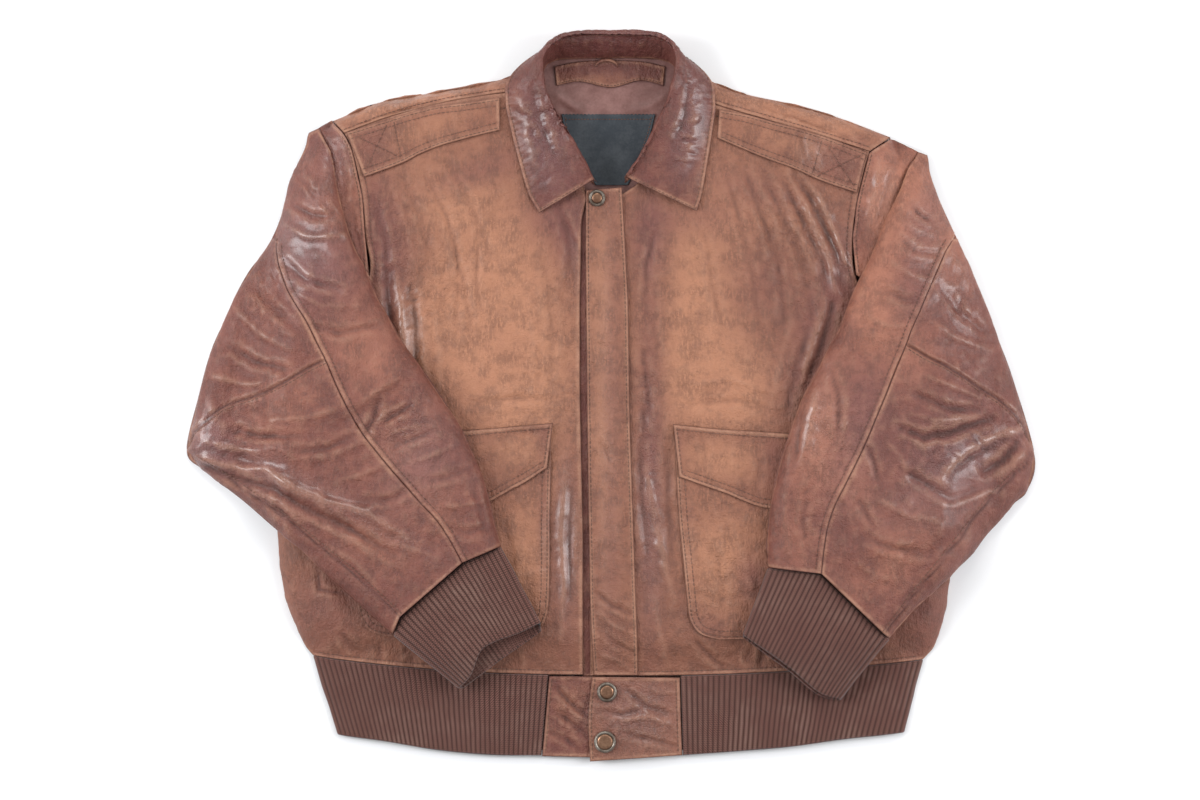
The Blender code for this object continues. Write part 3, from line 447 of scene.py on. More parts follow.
@dataclass
class Cloth:
    """One cut piece of cloth, ready to be made an object."""

    name: str
    nodes: tuple[str, ...]
    slot: str
    net: Net
    wall: float
    held: str = "laid"
    rests_on: tuple[str, ...] = ()
    rim: Rim = Rim.ALL
    turned: float = 1.2
    lift: Array | None = None
    patina_and_shading: Array | None = None
    used: Array | None = None
    seams: tuple[Array, ...] = ()
    tree: BVHTree | None = None
    made: bpy.types.Object | None = None

    def surface(self) -> Array:
        """Outer points: the net with its relief, and with its edges turned down."""
        normal = self.net.normals()
        relief_height = np.zeros(self.net.points.shape[:2]) if self.lift is None else self.lift
        near = self.net.edge(self.rim) if self.rim else np.full(relief_height.shape, EVERYWHERE)
        share = np.clip(near / self.turned, 0, 1)
        drop = self.turned * (1 - np.sqrt(1 - (1 - share) ** 2))
        height = relief_height * smooth(near / EDGE_CALM) - drop
        return self.net.points + normal * height[..., None]

    def shading_and_wear(self) -> Array:
        """Painted crease and rim shade, ridges for rubbing and a painted highlight, edge rubbing and seams, 0 to 1."""
        height = np.zeros(self.net.points.shape[:2]) if self.lift is None else self.lift
        near = self.net.edge(self.rim) if self.rim else np.full(height.shape, EVERYWHERE)
        away = height - blurred(height, 6)
        # Painted shade: deep creases and the very rim darken the colour.
        crevice = np.clip(-away / CREVICE_DEPTH, 0, 1) + 0.9 * np.exp(-((near / 0.9) ** 2))
        edge = np.exp(-(((near - 2.2) / 1.5) ** 2))
        seam = 0 * away
        for line in self.seams:
            seam = np.maximum(seam, np.exp(-((to_line(self.net.points[..., :2], line)[0] / 1.5) ** 2)))
        return np.stack([np.clip(crevice, 0, 1), np.clip(away / RIDGE_HEIGHT, 0, 1), edge, seam], -1)

    def build(self, material: bpy.types.Material) -> bpy.types.Object:
        """Makes the object: a grid laid on the surface, with a wall inside it.

        Args:
            material: The finish of the cloth.

        Returns:
            The finished object.
        """
        outer, normal = self.surface(), self.net.normals()
        v, u = self.net.lengths()
        patina_and_shading = np.zeros(outer.shape[:2] + (4,)) if self.patina_and_shading is None else self.patina_and_shading
        shading_and_wear = self.shading_and_wear()
        if self.net.ring:
            gap = np.linalg.norm(self.net.points[:, 0] - self.net.points[:, -1], axis=-1)
            u = np.concatenate([u, u[:, -1:] + gap[:, None]], 1)
            layers = (v, outer, normal, patina_and_shading, shading_and_wear)
            v, outer, normal, patina_and_shading, shading_and_wear = (np.concatenate([a, a[:, :1]], 1) for a in layers)
        rows, columns = outer.shape[:2]
        bm = bmesh.new()
        bmesh.ops.create_grid(bm, x_segments=columns - 1, y_segments=rows - 1, size=1.0)
        if self.used is not None:
            unused = [face for face in bm.faces if not self.used[self.cell(face, rows, columns)]]
            bmesh.ops.delete(bm, geom=unused, context="FACES")
        mesh = bpy.data.meshes.new(self.name)
        bm.to_mesh(mesh)
        bm.free()
        place = np.empty(len(mesh.vertices) * 3)
        mesh.vertices.foreach_get("co", place)
        place = place.reshape(-1, 3)
        column = np.rint((place[:, 0] + 1) / 2 * (columns - 1)).astype(int)
        row = np.rint((place[:, 1] + 1) / 2 * (rows - 1)).astype(int)
        world = to_world(outer)[row, column]
        mesh.vertices.foreach_set("co", world.ravel())
        # Tone shares, the plum one partly painted shade and sheen; then painted shade, ridge highlight, edge rubbing
        # and seams.
        for title, values in (("patina_and_shading", patina_and_shading), ("shading_and_wear", shading_and_wear)):
            tone = mesh.attributes.new(title, "FLOAT_COLOR", "POINT")
            tone.data.foreach_set("color", values[row, column].ravel())
        corner = np.empty(len(mesh.loops), int)
        mesh.loops.foreach_get("vertex_index", corner)
        across = u[rows // 2][column] if self.net.ring else u[row, column]
        lay = mesh.uv_layers.new(name="lay")
        lay.data.foreach_set("uv", (np.stack([across, v[row, column]], -1)[corner] * MM).ravel())
        facing = np.empty(len(mesh.polygons) * 3)
        mesh.polygons.foreach_get("normal", facing)
        first = np.empty(len(mesh.polygons), int)
        mesh.polygons.foreach_get("loop_start", first)
        wanted = normal[row, column][corner[first]] * [1, -1, 1]
        if (facing.reshape(-1, 3) * wanted).sum() < 0:
            mesh.flip_normals()
        if self.net.ring:
            bm = bmesh.new()
            bm.from_mesh(mesh)
            bmesh.ops.remove_doubles(bm, verts=bm.verts, dist=1e-6)
            bm.to_mesh(mesh)
            bm.free()
        mesh.shade_smooth()
        self.made = add_object(self.name, mesh, material)
        self.tree = tree_of(mesh)
        wall = self.made.modifiers.new("wall", "SOLIDIFY")
        wall.thickness = self.wall * MM
        wall.offset = -1.0
        finish_piece(self.made, self.nodes)
        wide, long, area = self.net.cut(self.used)
        if min(wide, long) < SMALLEST_SHEET:
            return self.made
        LOG.info("%s: %d x %d points, cut %.0f x %.0f mm", self.name, rows, columns, wide / MM, long / MM)
        return self.made

    def cell(self, face: bmesh.types.BMFace, rows: int, columns: int) -> tuple[int, int]:
        """Row and column of the net's cell that a face of the grid covers."""
        middle = face.calc_center_median()
        return (
            int((middle.y + 1) / 2 * (rows - 1)),
            int((middle.x + 1) / 2 * (columns - 1)),
        )


def blurred(height: Array, passes: int) -> Array:
    """Height evened out over its neighbours a number of times."""
    for _ in range(passes):
        padded = np.pad(height, 1, mode="edge")
        height = (padded[:-2, 1:-1] + padded[2:, 1:-1] + padded[1:-1, :-2] + padded[1:-1, 2:] + padded[1:-1, 1:-1]) / 5
    return height


def to_world(points: Array) -> Array:
    """Table millimetres to metres in the jacket's frame."""
    return (points - [TABLE_CENTRE[0], TABLE_CENTRE[1], 0.0]) * [MM, -MM, MM]


def add_object(name: str, mesh: bpy.types.Mesh, material: bpy.types.Material) -> bpy.types.Object:
    """Links a mesh as an object with one material."""
    mesh.materials.append(material)
    made = bpy.data.objects.new(name, mesh)
    bpy.context.scene.collection.objects.link(made)
    return made


def finish_piece(made: bpy.types.Object, nodes: tuple[str, ...]) -> None:
    """Rides a piece on the jacket, and hides the solids that it stands for."""
    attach(made, "root")
    if nodes:
        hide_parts(*nodes)


def tree_of(mesh: bpy.types.Mesh) -> BVHTree:
    """Search tree of a mesh, to find the cloth's face from above."""
    return BVHTree.FromPolygons([v.co[:] for v in mesh.vertices], [p.vertices[:] for p in mesh.polygons])


# ---------------------------------------------------------------- form of the laid jacket


@dataclass(frozen=True)
class Form:
    """Heights of the layers that lie on the table."""

    rise: float = 22.0
    side_roll: float = 26.0
    hem_share: float = 0.47
    blouse: float = 45.0
    drape_reach: float = 42.0
    drape_length: float = 62.0
    lift_top: float = 3.0
    lift_pocket: float = 6.0
    outline: Line = (
        (345, 900), (337, 748), (327, 712), (318, 683), (311, 660), (303, 648), (293, 627), (283, 600), (277, 565),
        (275, 532), (272, 450), (273, 380), (282, 330), (300, 270), (314, 210), (321, 160), (324, 130), (331, 119),
        (380, 100), (430, 91), (465, 86), (490, 80), (515, 74), (537, 67), (541, 40), (680, 40), (684, 67), (705, 76),
        (722, 84), (745, 92), (765, 94), (800, 105), (840, 116), (880, 130), (893, 136), (899, 150), (908, 200),
        (925, 270), (945, 330), (955, 380), (956, 450), (954, 530), (953, 577), (949, 608), (943, 630), (936, 650),
        (926, 661), (920, 680), (914, 700), (907, 733), (900, 748), (895, 900),
    )
    hem_seam: Line = (
        (300, 656), (330, 660), (400, 668), (480, 674), (583, 677), (680, 678), (760, 672), (870, 661), (935, 661),
    )
    folds: tuple[Crease, ...] = pressed(
        (378,300, 398,355, 416,400, 13, 2.2), (850,235, 832,300, 808,372, 13, 2.5),
        (742,190, 752,250, 768,330, 13, 2.4), (652,440, 657,520, 650,600, 13, -2.4),
        (566,240, 570,330, 568,430, 12, -1.8), (322,560, 330,600, 350,640, 12, 2.6),
    )

    def above_hem(self, xy: Array) -> Array:
        """Distance of points above the waistband's seam."""
        seam = np.array(self.hem_seam, float)
        return np.interp(xy[..., 0], seam[:, 0], seam[:, 1]) - xy[..., 1]

    def height(self, xy: Array) -> Array:
        """Outer face of the body's top layer, 0 at its outline."""
        roll = rolled(inside(xy, self.outline), self.side_roll)
        gap = self.above_hem(xy)
        share = self.hem_share + (1 - self.hem_share) * smooth(gap / self.blouse) + np.clip(gap, -90, 0) * 0.0006
        plain = sum(c.height * np.exp(-((to_line(xy, c.line)[0] / c.width) ** 2)) for c in self.folds)
        return roll * (self.rise * share + plain)

    def drape(self, xy: Array) -> Array:
        """Underside of a sleeve: the table outside the body, clear of the panels over it."""
        share = smooth((inside(xy, self.outline) + self.drape_reach) / self.drape_length)
        lift = self.lift_top + (self.lift_pocket - self.lift_top) * smooth((xy[..., 1] - 340) / 60)
        sag = 0.5 + 0.5 * smooth((self.above_hem(xy) + 40) / 70)
        return (self.rise + lift) * share * sag


def between(first: Array, last: Array, columns: Array) -> Array:
    """Rows of points from one rail to another, at shares of the way across."""
    share = np.asarray(columns, float)[None, :, None]
    return first[:, None] * (1 - share) + last[:, None] * share


def raised(xy: Array, z: Array | float) -> Array:
    """Points on the table, given a height."""
    return np.concatenate([xy, np.broadcast_to(z, xy.shape[:-1])[..., None]], -1)


# ---------------------------------------------------------------- worn tone and painted shade of the leather


@dataclass(frozen=True)
class WearAndShading:
    """Creases and tones worn into one part of the jacket over the years, and plum patches of painted shade and sheen.
    """

    creases: tuple[Crease, ...] = ()
    patches: tuple[Patch, ...] = ()
    coarse: float = 1.0
    turn: float = 1.57
    depth: float = 1.4

    def share(self, xy: Array, patch_kind: PatchKind) -> Array:
        """Amount of one kind of patch at points on the table, from 0 to 1."""
        total = np.zeros(xy.shape[:-1])
        for patch in self.patches:
            if patch.patch_kind is patch_kind:
                total += patch.at(xy)
        return np.clip(total, 0, 1)

    def relief(self, xy: Array, seams: list[Array] | None = None) -> Array:
        """Height of creases, crinkles, slack and stitched seams at points on the table.

        Args:
            xy: Points, with x and y as the last axis.
            seams: Lines of stitching.

        Returns:
            The height at each point.
        """
        crinkle = self.share(xy, PatchKind.CRINKLE)
        slack = 0.8 * Mottle(21.0, 41).at(xy) + 0.42 * Mottle(9.5, 43).at(xy) + 0.16 * Mottle(5.0, 44).at(xy)
        fine = Mottle(11.0, 51).cracks(xy) + 0.7 * Mottle(7.0, 57).cracks(xy, 5.0)
        pulled = Mottle(7.5, 53, self.turn, 4.5).cracks(xy, 3.0)
        total = slack * self.coarse + self.depth * relief(xy, self.creases)
        total += crinkle * (0.8 * Mottle(7.5, 61).at(xy) - 1.1 * fine)
        tight = Mottle(4.6, 59, self.turn + 0.15, 5.0).cracks(xy, 2.5)
        total -= self.coarse * (0.2 * fine + (0.26 + 0.5 * crinkle) * pulled + (0.24 + 0.5 * crinkle) * tight)
        return total + (stitched(xy, seams) if seams else 0.0)

    def patina_and_shading(self, xy: Array) -> Array:
        """Tan, plum, shine and crinkle shares at points on the table; plum is partly painted shade and sheen."""
        return np.stack([self.share(xy, patch_kind) for patch_kind in PatchKind], -1)


def evenly_across(first: Line, last: Line, rows: tuple[float, float], step: float, rim: Rim) -> tuple[Array, Array]:
    """Row numbers, and shares across, of an even net between two rails.

    Args:
        first: Rail of the first column, as (row, x, y).
        last: Rail of the last column.
        rows: First and last row number.
        step: Spacing in millimetres.
        rim: Borders where the net crowds, to round the edge.

    Returns:
        The row numbers and the shares across.
    """
    t = np.linspace(rows[0], rows[1], 500)
    a, b = along(first, t), along(last, t)
    middle = (a + b) / 2
    arc = np.concatenate([[0], np.cumsum(np.linalg.norm(np.diff(middle, axis=0), axis=1))])
    down = spaced(arc[-1], step, Rim.FIRST_ROW in rim, Rim.LAST_ROW in rim)
    wide = float(np.linalg.norm(a - b, axis=1).mean())
    across = spaced(wide, step, Rim.FIRST_COLUMN in rim, Rim.LAST_COLUMN in rim)
    return np.interp(down * arc[-1], arc, t), across


# ---------------------------------------------------------------- stitching


@dataclass
class Seam:
    """One run of stitches on a piece of cloth."""

    cloth: Cloth
    line: Array
    stitch: float = 3.4
    gap: float = 0.9
    thick: float = 0.42


@dataclass
class Stitching:
    """All runs of stitches of one sub-assembly, as small spindles of thread sunk into the leather."""

    name: str
    slot: str
    seams: list[Seam] = field(default_factory=list)

    def add(self, cloth: Cloth, lines: list[Array], stitch: float = 3.4) -> None:
        """Adds runs of stitches along lines on one cloth."""
        self.seams.extend(Seam(cloth, np.asarray(line, float)[:, :2], stitch) for line in lines)

    def build(self, material: bpy.types.Material) -> None:
        """Makes one object of all the stitches that find cloth under them.

        Args:
            material: The finish of the thread.
        """
        whole = bmesh.new()
        count = 0
        for number, seam in enumerate(self.seams):
            part = bmesh.new()
            count += self.lay(part, seam, number)
            mesh = bpy.data.meshes.new("run")
            part.to_mesh(mesh)
            part.free()
            whole.from_mesh(mesh)
            bpy.data.meshes.remove(mesh)
        mesh = bpy.data.meshes.new(self.name)
        whole.to_mesh(mesh)
        whole.free()
        mesh.shade_smooth()
        finish_piece(add_object(self.name, mesh, material), ())
        LOG.info("%s: %d stitches in %d runs", self.name, count, len(self.seams))

    def lay(self, part: bmesh.types.BMesh, seam: Seam, number: int) -> int:
        """Lays the stitches of one run.

        Args:
            part: Mesh that takes the spindles.
            seam: The run.
            number: Seed of its small unevenness.

        Returns:
            The number of stitches laid.
        """
        random = np.random.default_rng(STITCH_SEED + number)
        arc = np.concatenate([[0], np.cumsum(np.linalg.norm(np.diff(seam.line, axis=0), axis=1))])
        count = int(arc[-1] / (seam.stitch + seam.gap))
        starts = (np.arange(count) + 0.2) * (seam.stitch + seam.gap)
        starts += random.uniform(-WOBBLE_ALONG, WOBBLE_ALONG, count)
        laid = 0
        for start in starts:
            ends = []
            for place in (start, start + seam.stitch):
                xy = [float(np.interp(place, arc, seam.line[:, k])) for k in (0, 1)]
                xy[1] += float(random.uniform(-WOBBLE_ACROSS, WOBBLE_ACROSS))
                spot = self.drop(seam.cloth, xy)
                if spot is not None:
                    ends.append(spot)
            if len(ends) < 2 or (ends[0] - ends[1]).length > 1.6 * seam.stitch * MM:
                continue
            run = ends[1] - ends[0]
            turn = run.to_track_quat("X", "Z").to_matrix().to_4x4()
            size = Matrix.Diagonal((run.length * 0.56, seam.thick * 1.25 * MM, seam.thick * MM, 1.0))
            middle = (ends[0] + ends[1]) / 2 + Vector((0, 0, 0.12 * MM))
            place_at = Matrix.Translation(middle) @ turn @ size
            bmesh.ops.create_uvsphere(part, u_segments=6, v_segments=4, radius=1.0, matrix=place_at)
            laid += 1
        return laid

    def drop(self, cloth: Cloth, xy: list[float]) -> Vector | None:
        """Finds the cloth's face below a place on the table, or nothing where it has none."""
        place = to_world(np.array([xy[0], xy[1], DROP_HEIGHT]))
        hit = cloth.tree.ray_cast(Vector(place), Vector((0, 0, -1)))
        return hit[0]


# ---------------------------------------------------------------- finishes


@dataclass
class Graph:
    """A node tree that is put together step by step."""

    tree: bpy.types.NodeTree

    def add(self, kind: str, feeds: dict[str | int, object] | None = None, **settings: object) -> bpy.types.Node:
        """Adds one node.

        Args:
            kind: The node's type.
            feeds: A value, or the socket that gives it, for each input.
            settings: Values of the node's own settings.

        Returns:
            The node.
        """
        node = self.tree.nodes.new(kind)
        for key, value in settings.items():
            setattr(node, key, value)
        for key, value in (feeds or {}).items():
            self.feed(node.inputs[key], value)
        return node

    def feed(self, socket: bpy.types.NodeSocket, value: object) -> None:
        """Sets an input, or links another socket to it."""
        if isinstance(value, bpy.types.NodeSocket):
            self.tree.links.new(value, socket)
        else:
            socket.default_value = value

    def maths(self, operation: str, first: object, second: object = 0.5, clamp: bool = False) -> bpy.types.NodeSocket:
        """Output of one sum of two values."""
        return self.add("ShaderNodeMath", {0: first, 1: second}, operation=operation, use_clamp=clamp).outputs[0]

    def times(self, first: object, second: object) -> bpy.types.NodeSocket:
        """Product of two values."""
        return self.maths("MULTIPLY", first, second)

    def plus(self, first: object, second: object, clamp: bool = False) -> bpy.types.NodeSocket:
        """Sum of two values, held between 0 and 1 where clamp says so."""
        return self.maths("ADD", first, second, clamp)

    def mixed(self, share: object, first: object, second: object) -> bpy.types.NodeSocket:
        """Colour between two colours."""
        feeds = {0: share, 6: first, 7: second}
        return self.add("ShaderNodeMix", feeds, data_type="RGBA", clamp_factor=True).outputs[2]

    def ranged(self, value: object, low: float, high: float, to_low: float, to_high: float) -> bpy.types.NodeSocket:
        """Value moved from one range to another, and held inside it."""
        feeds = {0: value, 1: low, 2: high, 3: to_low, 4: to_high}
        return self.add("ShaderNodeMapRange", feeds, interpolation_type="SMOOTHSTEP").outputs[0]

    def noise(self, place: object, scale: float, detail: float = 2.0, rough: float = 0.5) -> bpy.types.NodeSocket:
        """Soft noise at a scale per metre."""
        feeds = {"Vector": place, "Scale": scale, "Detail": detail, "Roughness": rough}
        return self.add("ShaderNodeTexNoise", feeds).outputs[0]

    def cells(self, place: object, scale: float, feature: str = "F1") -> bpy.types.NodeSocket:
        """Distance inside small cells at a scale per metre."""
        return self.add("ShaderNodeTexVoronoi", {"Vector": place, "Scale": scale}, feature=feature).outputs["Distance"]


def new_group(name: str, ins: dict[str, str], outs: dict[str, str]) -> tuple[Graph, dict[str, object], bpy.types.Node]:
    """Starts a node group.

    Args:
        name: Its name.
        ins: Kind of each input socket.
        outs: Kind of each output socket.

    Returns:
        Its graph, its input sockets by name, and the node that takes the outputs.
    """
    tree = bpy.data.node_groups.new(name, "ShaderNodeTree")
    for label, kind in ins.items():
        tree.interface.new_socket(name=label, in_out="INPUT", socket_type=kind)
    for label, kind in outs.items():
        tree.interface.new_socket(name=label, in_out="OUTPUT", socket_type=kind)
    given = tree.nodes.new("NodeGroupInput")
    result = tree.nodes.new("NodeGroupOutput")
    return Graph(tree), {label: given.outputs[label] for label in ins}, result


FLOAT, COLOUR, VECTOR = "NodeSocketFloat", "NodeSocketColor", "NodeSocketVector"


@dataclass
class SharedEffects:
    """Node groups that several finishes use: grain, mottling, wear, knit and weave."""

    grain: bpy.types.NodeTree = field(init=False)
    mottling: bpy.types.NodeTree = field(init=False)
    tone: bpy.types.NodeTree = field(init=False)
    knit: bpy.types.NodeTree = field(init=False)
    weave: bpy.types.NodeTree = field(init=False)

    def __post_init__(self) -> None:
        """Builds all groups."""
        self.grain = self.make_grain()
        self.mottling = self.make_mottling()
        self.tone = self.make_tone()
        self.knit = self.make_knit()
        self.weave = self.make_weave()

    def make_grain(self) -> bpy.types.NodeTree:
        """Pebbled grain of leather: its height, deeper where the leather is crinkled."""
        graph, given, result = new_group("leather_grain", {"Place": VECTOR, "Crinkle": FLOAT},
                                         {"Height": FLOAT, "Pore": FLOAT})
        fine = graph.cells(given["Place"], 1150.0)
        pebble = graph.cells(given["Place"], 560.0)
        soft = graph.noise(given["Place"], 260.0, 4.0, 0.6)
        coarse = graph.times(pebble, graph.ranged(given["Crinkle"], 0.0, 1.0, 0.35, 1.3))
        total = graph.plus(graph.times(fine, 0.35), coarse)
        drawn = graph.add("ShaderNodeMapping", {"Vector": given["Place"], "Scale": (1.0, 0.3, 1.0)}).outputs[0]
        soft = graph.plus(soft, graph.times(graph.noise(drawn, 300.0, 3.0, 0.6), 0.9))
        total = graph.plus(graph.times(soft, 0.9), graph.times(total, -0.6))
        graph.feed(result.inputs["Height"], total)
        stretched = graph.add("ShaderNodeMapping", {"Vector": given["Place"], "Scale": (1.0, 0.28, 1.0)}).outputs[0]
        line = graph.ranged(graph.noise(stretched, 420.0, 4.0, 0.65), 0.46, 0.62, 1.0, 0.0)
        pit = graph.maths("MAXIMUM", graph.ranged(pebble, 0.45, 0.9, 0.0, 0.8), graph.times(line, 0.75))
        spread = graph.ranged(graph.noise(given["Place"], 45.0, 3.0, 0.6), 0.4, 0.62, 0.1, 0.9)
        graph.feed(result.inputs["Pore"], graph.times(pit, spread))
        return graph.tree

    def make_mottling(self) -> bpy.types.NodeTree:
        """Uneven dye and rubbing, as one value around 0.5, and fine scuffs."""
        graph, given, result = new_group("mottling", {"Place": VECTOR}, {"Value": FLOAT, "Scuff": FLOAT})
        broad = graph.noise(given["Place"], 16.0, 3.0, 0.55)
        middle = graph.noise(given["Place"], 70.0, 5.0, 0.62)
        speck = graph.noise(given["Place"], 420.0, 3.0, 0.6)
        value = graph.plus(graph.times(broad, 0.42), graph.times(middle, 0.4))
        value = graph.plus(value, graph.times(speck, 0.18))
        stretched = graph.add("ShaderNodeMapping", {"Vector": given["Place"], "Scale": (1.0, 5.0, 1.0)}).outputs[0]
        scuff = graph.ranged(graph.noise(stretched, 110.0, 6.0, 0.7), 0.6, 0.78, 0.0, 1.0)
        graph.feed(result.inputs["Value"], value)
        graph.feed(result.inputs["Scuff"], scuff)
        return graph.tree

    def make_tone(self) -> bpy.types.NodeTree:
        """Colour of worn leather from its dyes, patches and edges, with painted shade in creases and a painted
        highlight on ridges.
        """
        ins = {"Base": COLOUR, "Tan": COLOUR, "Plum": COLOUR, "Dark": COLOUR, "Rubbed And Highlit": COLOUR}
        shares = ("Tan Share", "Plum Share", "Crevice", "Ridge", "Edge", "Pore", "Mottle", "Scuff")
        graph, given, result = new_group("leather_tone", ins | {s: FLOAT for s in shares}, {"Color": COLOUR})
        shift = graph.times(graph.maths("SUBTRACT", given["Mottle"], 0.5), 2.2)
        tan = graph.plus(given["Tan Share"], shift, clamp=True)
        colour = graph.mixed(tan, given["Base"], given["Tan"])
        # Plum patches mix in a purple-brown that is partly painted shade and sheen.
        plum = graph.plus(given["Plum Share"], graph.times(shift, 0.5), clamp=True)
        colour = graph.mixed(plum, colour, given["Plum"])
        dark = graph.times(graph.ranged(given["Mottle"], 0.52, 0.32, 0.0, 1.0), 0.5)
        # Painted shade: creases and rims darken towards the dark colour.
        dark = graph.maths("MAXIMUM", dark, graph.times(given["Crevice"], 0.72))
        dark = graph.maths("MAXIMUM", dark, graph.times(given["Pore"], 0.6))
        colour = graph.mixed(dark, colour, given["Dark"])
        rubbed_and_highlit = graph.times(given["Edge"], graph.ranged(given["Mottle"], 0.4, 0.6, 0.15, 0.75))
        # Ridges lighten, partly as rubbing and partly as a painted highlight.
        rubbed_and_highlit = graph.plus(rubbed_and_highlit, graph.times(given["Ridge"], 0.4))
        rubbed_and_highlit = graph.plus(rubbed_and_highlit, graph.times(given["Scuff"], 0.12), clamp=True)
        graph.feed(result.inputs["Color"], graph.mixed(rubbed_and_highlit, colour, given["Rubbed And Highlit"]))
        return graph.tree

    def make_knit(self) -> bpy.types.NodeTree:
        """Loops of a rib knit: height, and how deep a place lies between loops."""
        graph, given, result = new_group("knit_loops", {"Lay": VECTOR}, {"Height": FLOAT, "Shade": FLOAT})
        split = graph.add("ShaderNodeSeparateXYZ", {0: given["Lay"]})
        course = graph.times(split.outputs[1], 2 * math.pi / 0.0021)
        wale = graph.times(split.outputs[0], 2 * math.pi / 0.0026)
        lean = graph.times(graph.maths("SINE", wale), 1.6)
        loop = graph.maths("SINE", graph.plus(course, lean))
        fuzz = graph.noise(given["Lay"], 900.0, 3.0, 0.65)
        height = graph.plus(graph.times(loop, 0.5), graph.times(fuzz, 0.9))
        shade = graph.ranged(graph.plus(loop, graph.times(fuzz, 1.2)), -0.6, 1.2, 0.0, 1.0)
        graph.feed(result.inputs["Height"], height)
        graph.feed(result.inputs["Shade"], shade)
        return graph.tree

    def make_weave(self) -> bpy.types.NodeTree:
        """Fine weave of satin or tape: its height."""
        graph, given, result = new_group("fine_weave", {"Lay": VECTOR, "Scale": FLOAT}, {"Height": FLOAT})
        split = graph.add("ShaderNodeSeparateXYZ", {0: given["Lay"]})
        across = graph.maths("SINE", graph.times(split.outputs[0], given["Scale"]))
        up = graph.maths("SINE", graph.times(split.outputs[1], given["Scale"]))
        graph.feed(result.inputs["Height"], graph.times(across, up))
        return graph.tree


@dataclass
class Board:
    """A new material, its shader and the places that its textures are read at."""

    name: str
    graph: Graph = field(init=False)
    shader: bpy.types.Node = field(init=False)
    material: bpy.types.Material = field(init=False)
    place: bpy.types.NodeSocket = field(init=False)
    lay: bpy.types.NodeSocket = field(init=False)

    def __post_init__(self) -> None:
        """Starts the material."""
        self.material = bpy.data.materials.new(self.name)
        self.material.use_nodes = True
        self.graph = Graph(self.material.node_tree)
        self.shader = self.material.node_tree.nodes["Principled BSDF"]
        where = self.graph.add("ShaderNodeTexCoord")
        self.place = where.outputs["Object"]
        self.lay = self.graph.add("ShaderNodeUVMap", uv_map="lay").outputs[0]

    def group(self, tree: bpy.types.NodeTree, feeds: dict[str | int, object]) -> bpy.types.Node:
        """Adds a shared group with its inputs."""
        return self.graph.add("ShaderNodeGroup", feeds, node_tree=tree)

    def attribute(self, name: str) -> tuple[bpy.types.NodeSocket, ...]:
        """Red, green, blue and alpha of a colour attribute."""
        read = self.graph.add("ShaderNodeAttribute", attribute_name=name)
        split = self.graph.add("ShaderNodeSeparateColor", {0: read.outputs["Color"]})
        return (*split.outputs[:3], read.outputs["Alpha"])

    def link(self, value: object, socket: str) -> None:
        """Feeds or sets one input of the shader."""
        self.graph.feed(self.shader.inputs[socket], value)

    def bump(self, height: object, strength: float, distance: float) -> None:
        """Puts a fine height on the shader's normal."""
        feeds = {"Height": height, "Strength": strength, "Distance": distance}
        self.link(self.graph.add("ShaderNodeBump", feeds).outputs[0], "Normal")


@dataclass(frozen=True)
class LeatherFinish:
    """Dyes and polish of one kind of leather on the jacket, and the colours of its painted shade and highlight."""

    name: str
    base: tuple[float, float, float]
    tan: tuple[float, float, float]
    # Purple-brown of the plum patches, partly painted shade and sheen.
    plum: tuple[float, float, float]
    # Colour of deep dye and pores, and of the painted shade in creases.
    dark: tuple[float, float, float] = (0.05, 0.016, 0.011)
    # Colour of rubbing at edges, and of the painted highlight on ridges.
    rubbed_and_highlit: tuple[float, float, float] = (0.42, 0.21, 0.13)
    dull: float = 0.58
    polished: float = 0.33

    def material(self, effects: SharedEffects) -> bpy.types.Material:
        """Mixes the dyes by the patches on each cloth, paints shade and highlight, and gives grain to the surface.

        Args:
            effects: The shared node groups.

        Returns:
            The material.
        """
        board = Board(self.name)
        tan, plum, shine, crinkle = board.attribute("patina_and_shading")
        crevice, ridge, edge, seam = board.attribute("shading_and_wear")
        mottle = board.group(effects.mottling, {"Place": board.place})
        grain = board.group(effects.grain, {"Place": board.place, "Crinkle": crinkle})
        # Sewn seams darken like the painted shade in creases.
        crevice = board.graph.maths("MAXIMUM", crevice, seam)
        feeds = {
            "Base": (*self.base, 1), "Tan": (*self.tan, 1), "Plum": (*self.plum, 1), "Dark": (*self.dark, 1),
            "Rubbed And Highlit": (*self.rubbed_and_highlit, 1), "Tan Share": tan, "Plum Share": plum, "Crevice": crevice,
            "Ridge": ridge, "Edge": edge, "Pore": grain.outputs["Pore"],
            "Mottle": mottle.outputs["Value"], "Scuff": mottle.outputs["Scuff"],
        }
        board.link(board.group(effects.tone, feeds).outputs["Color"], "Base Color")
        polish = board.graph.plus(shine, board.graph.times(ridge, 0.4), clamp=True)
        rough = board.graph.ranged(polish, 0.0, 1.0, self.dull, self.polished)
        uneven = board.graph.times(board.graph.maths("SUBTRACT", mottle.outputs["Value"], 0.5), 0.45)
        board.link(board.graph.plus(rough, uneven, clamp=True), "Roughness")
        board.link(board.graph.ranged(polish, 0.0, 1.0, 0.04, 0.8), "Coat Weight")
        board.link(0.24, "Coat Roughness")
        board.link(0.5, "Specular IOR Level")
        board.bump(grain.outputs["Height"], 1.0, 0.0016)
        return board.material


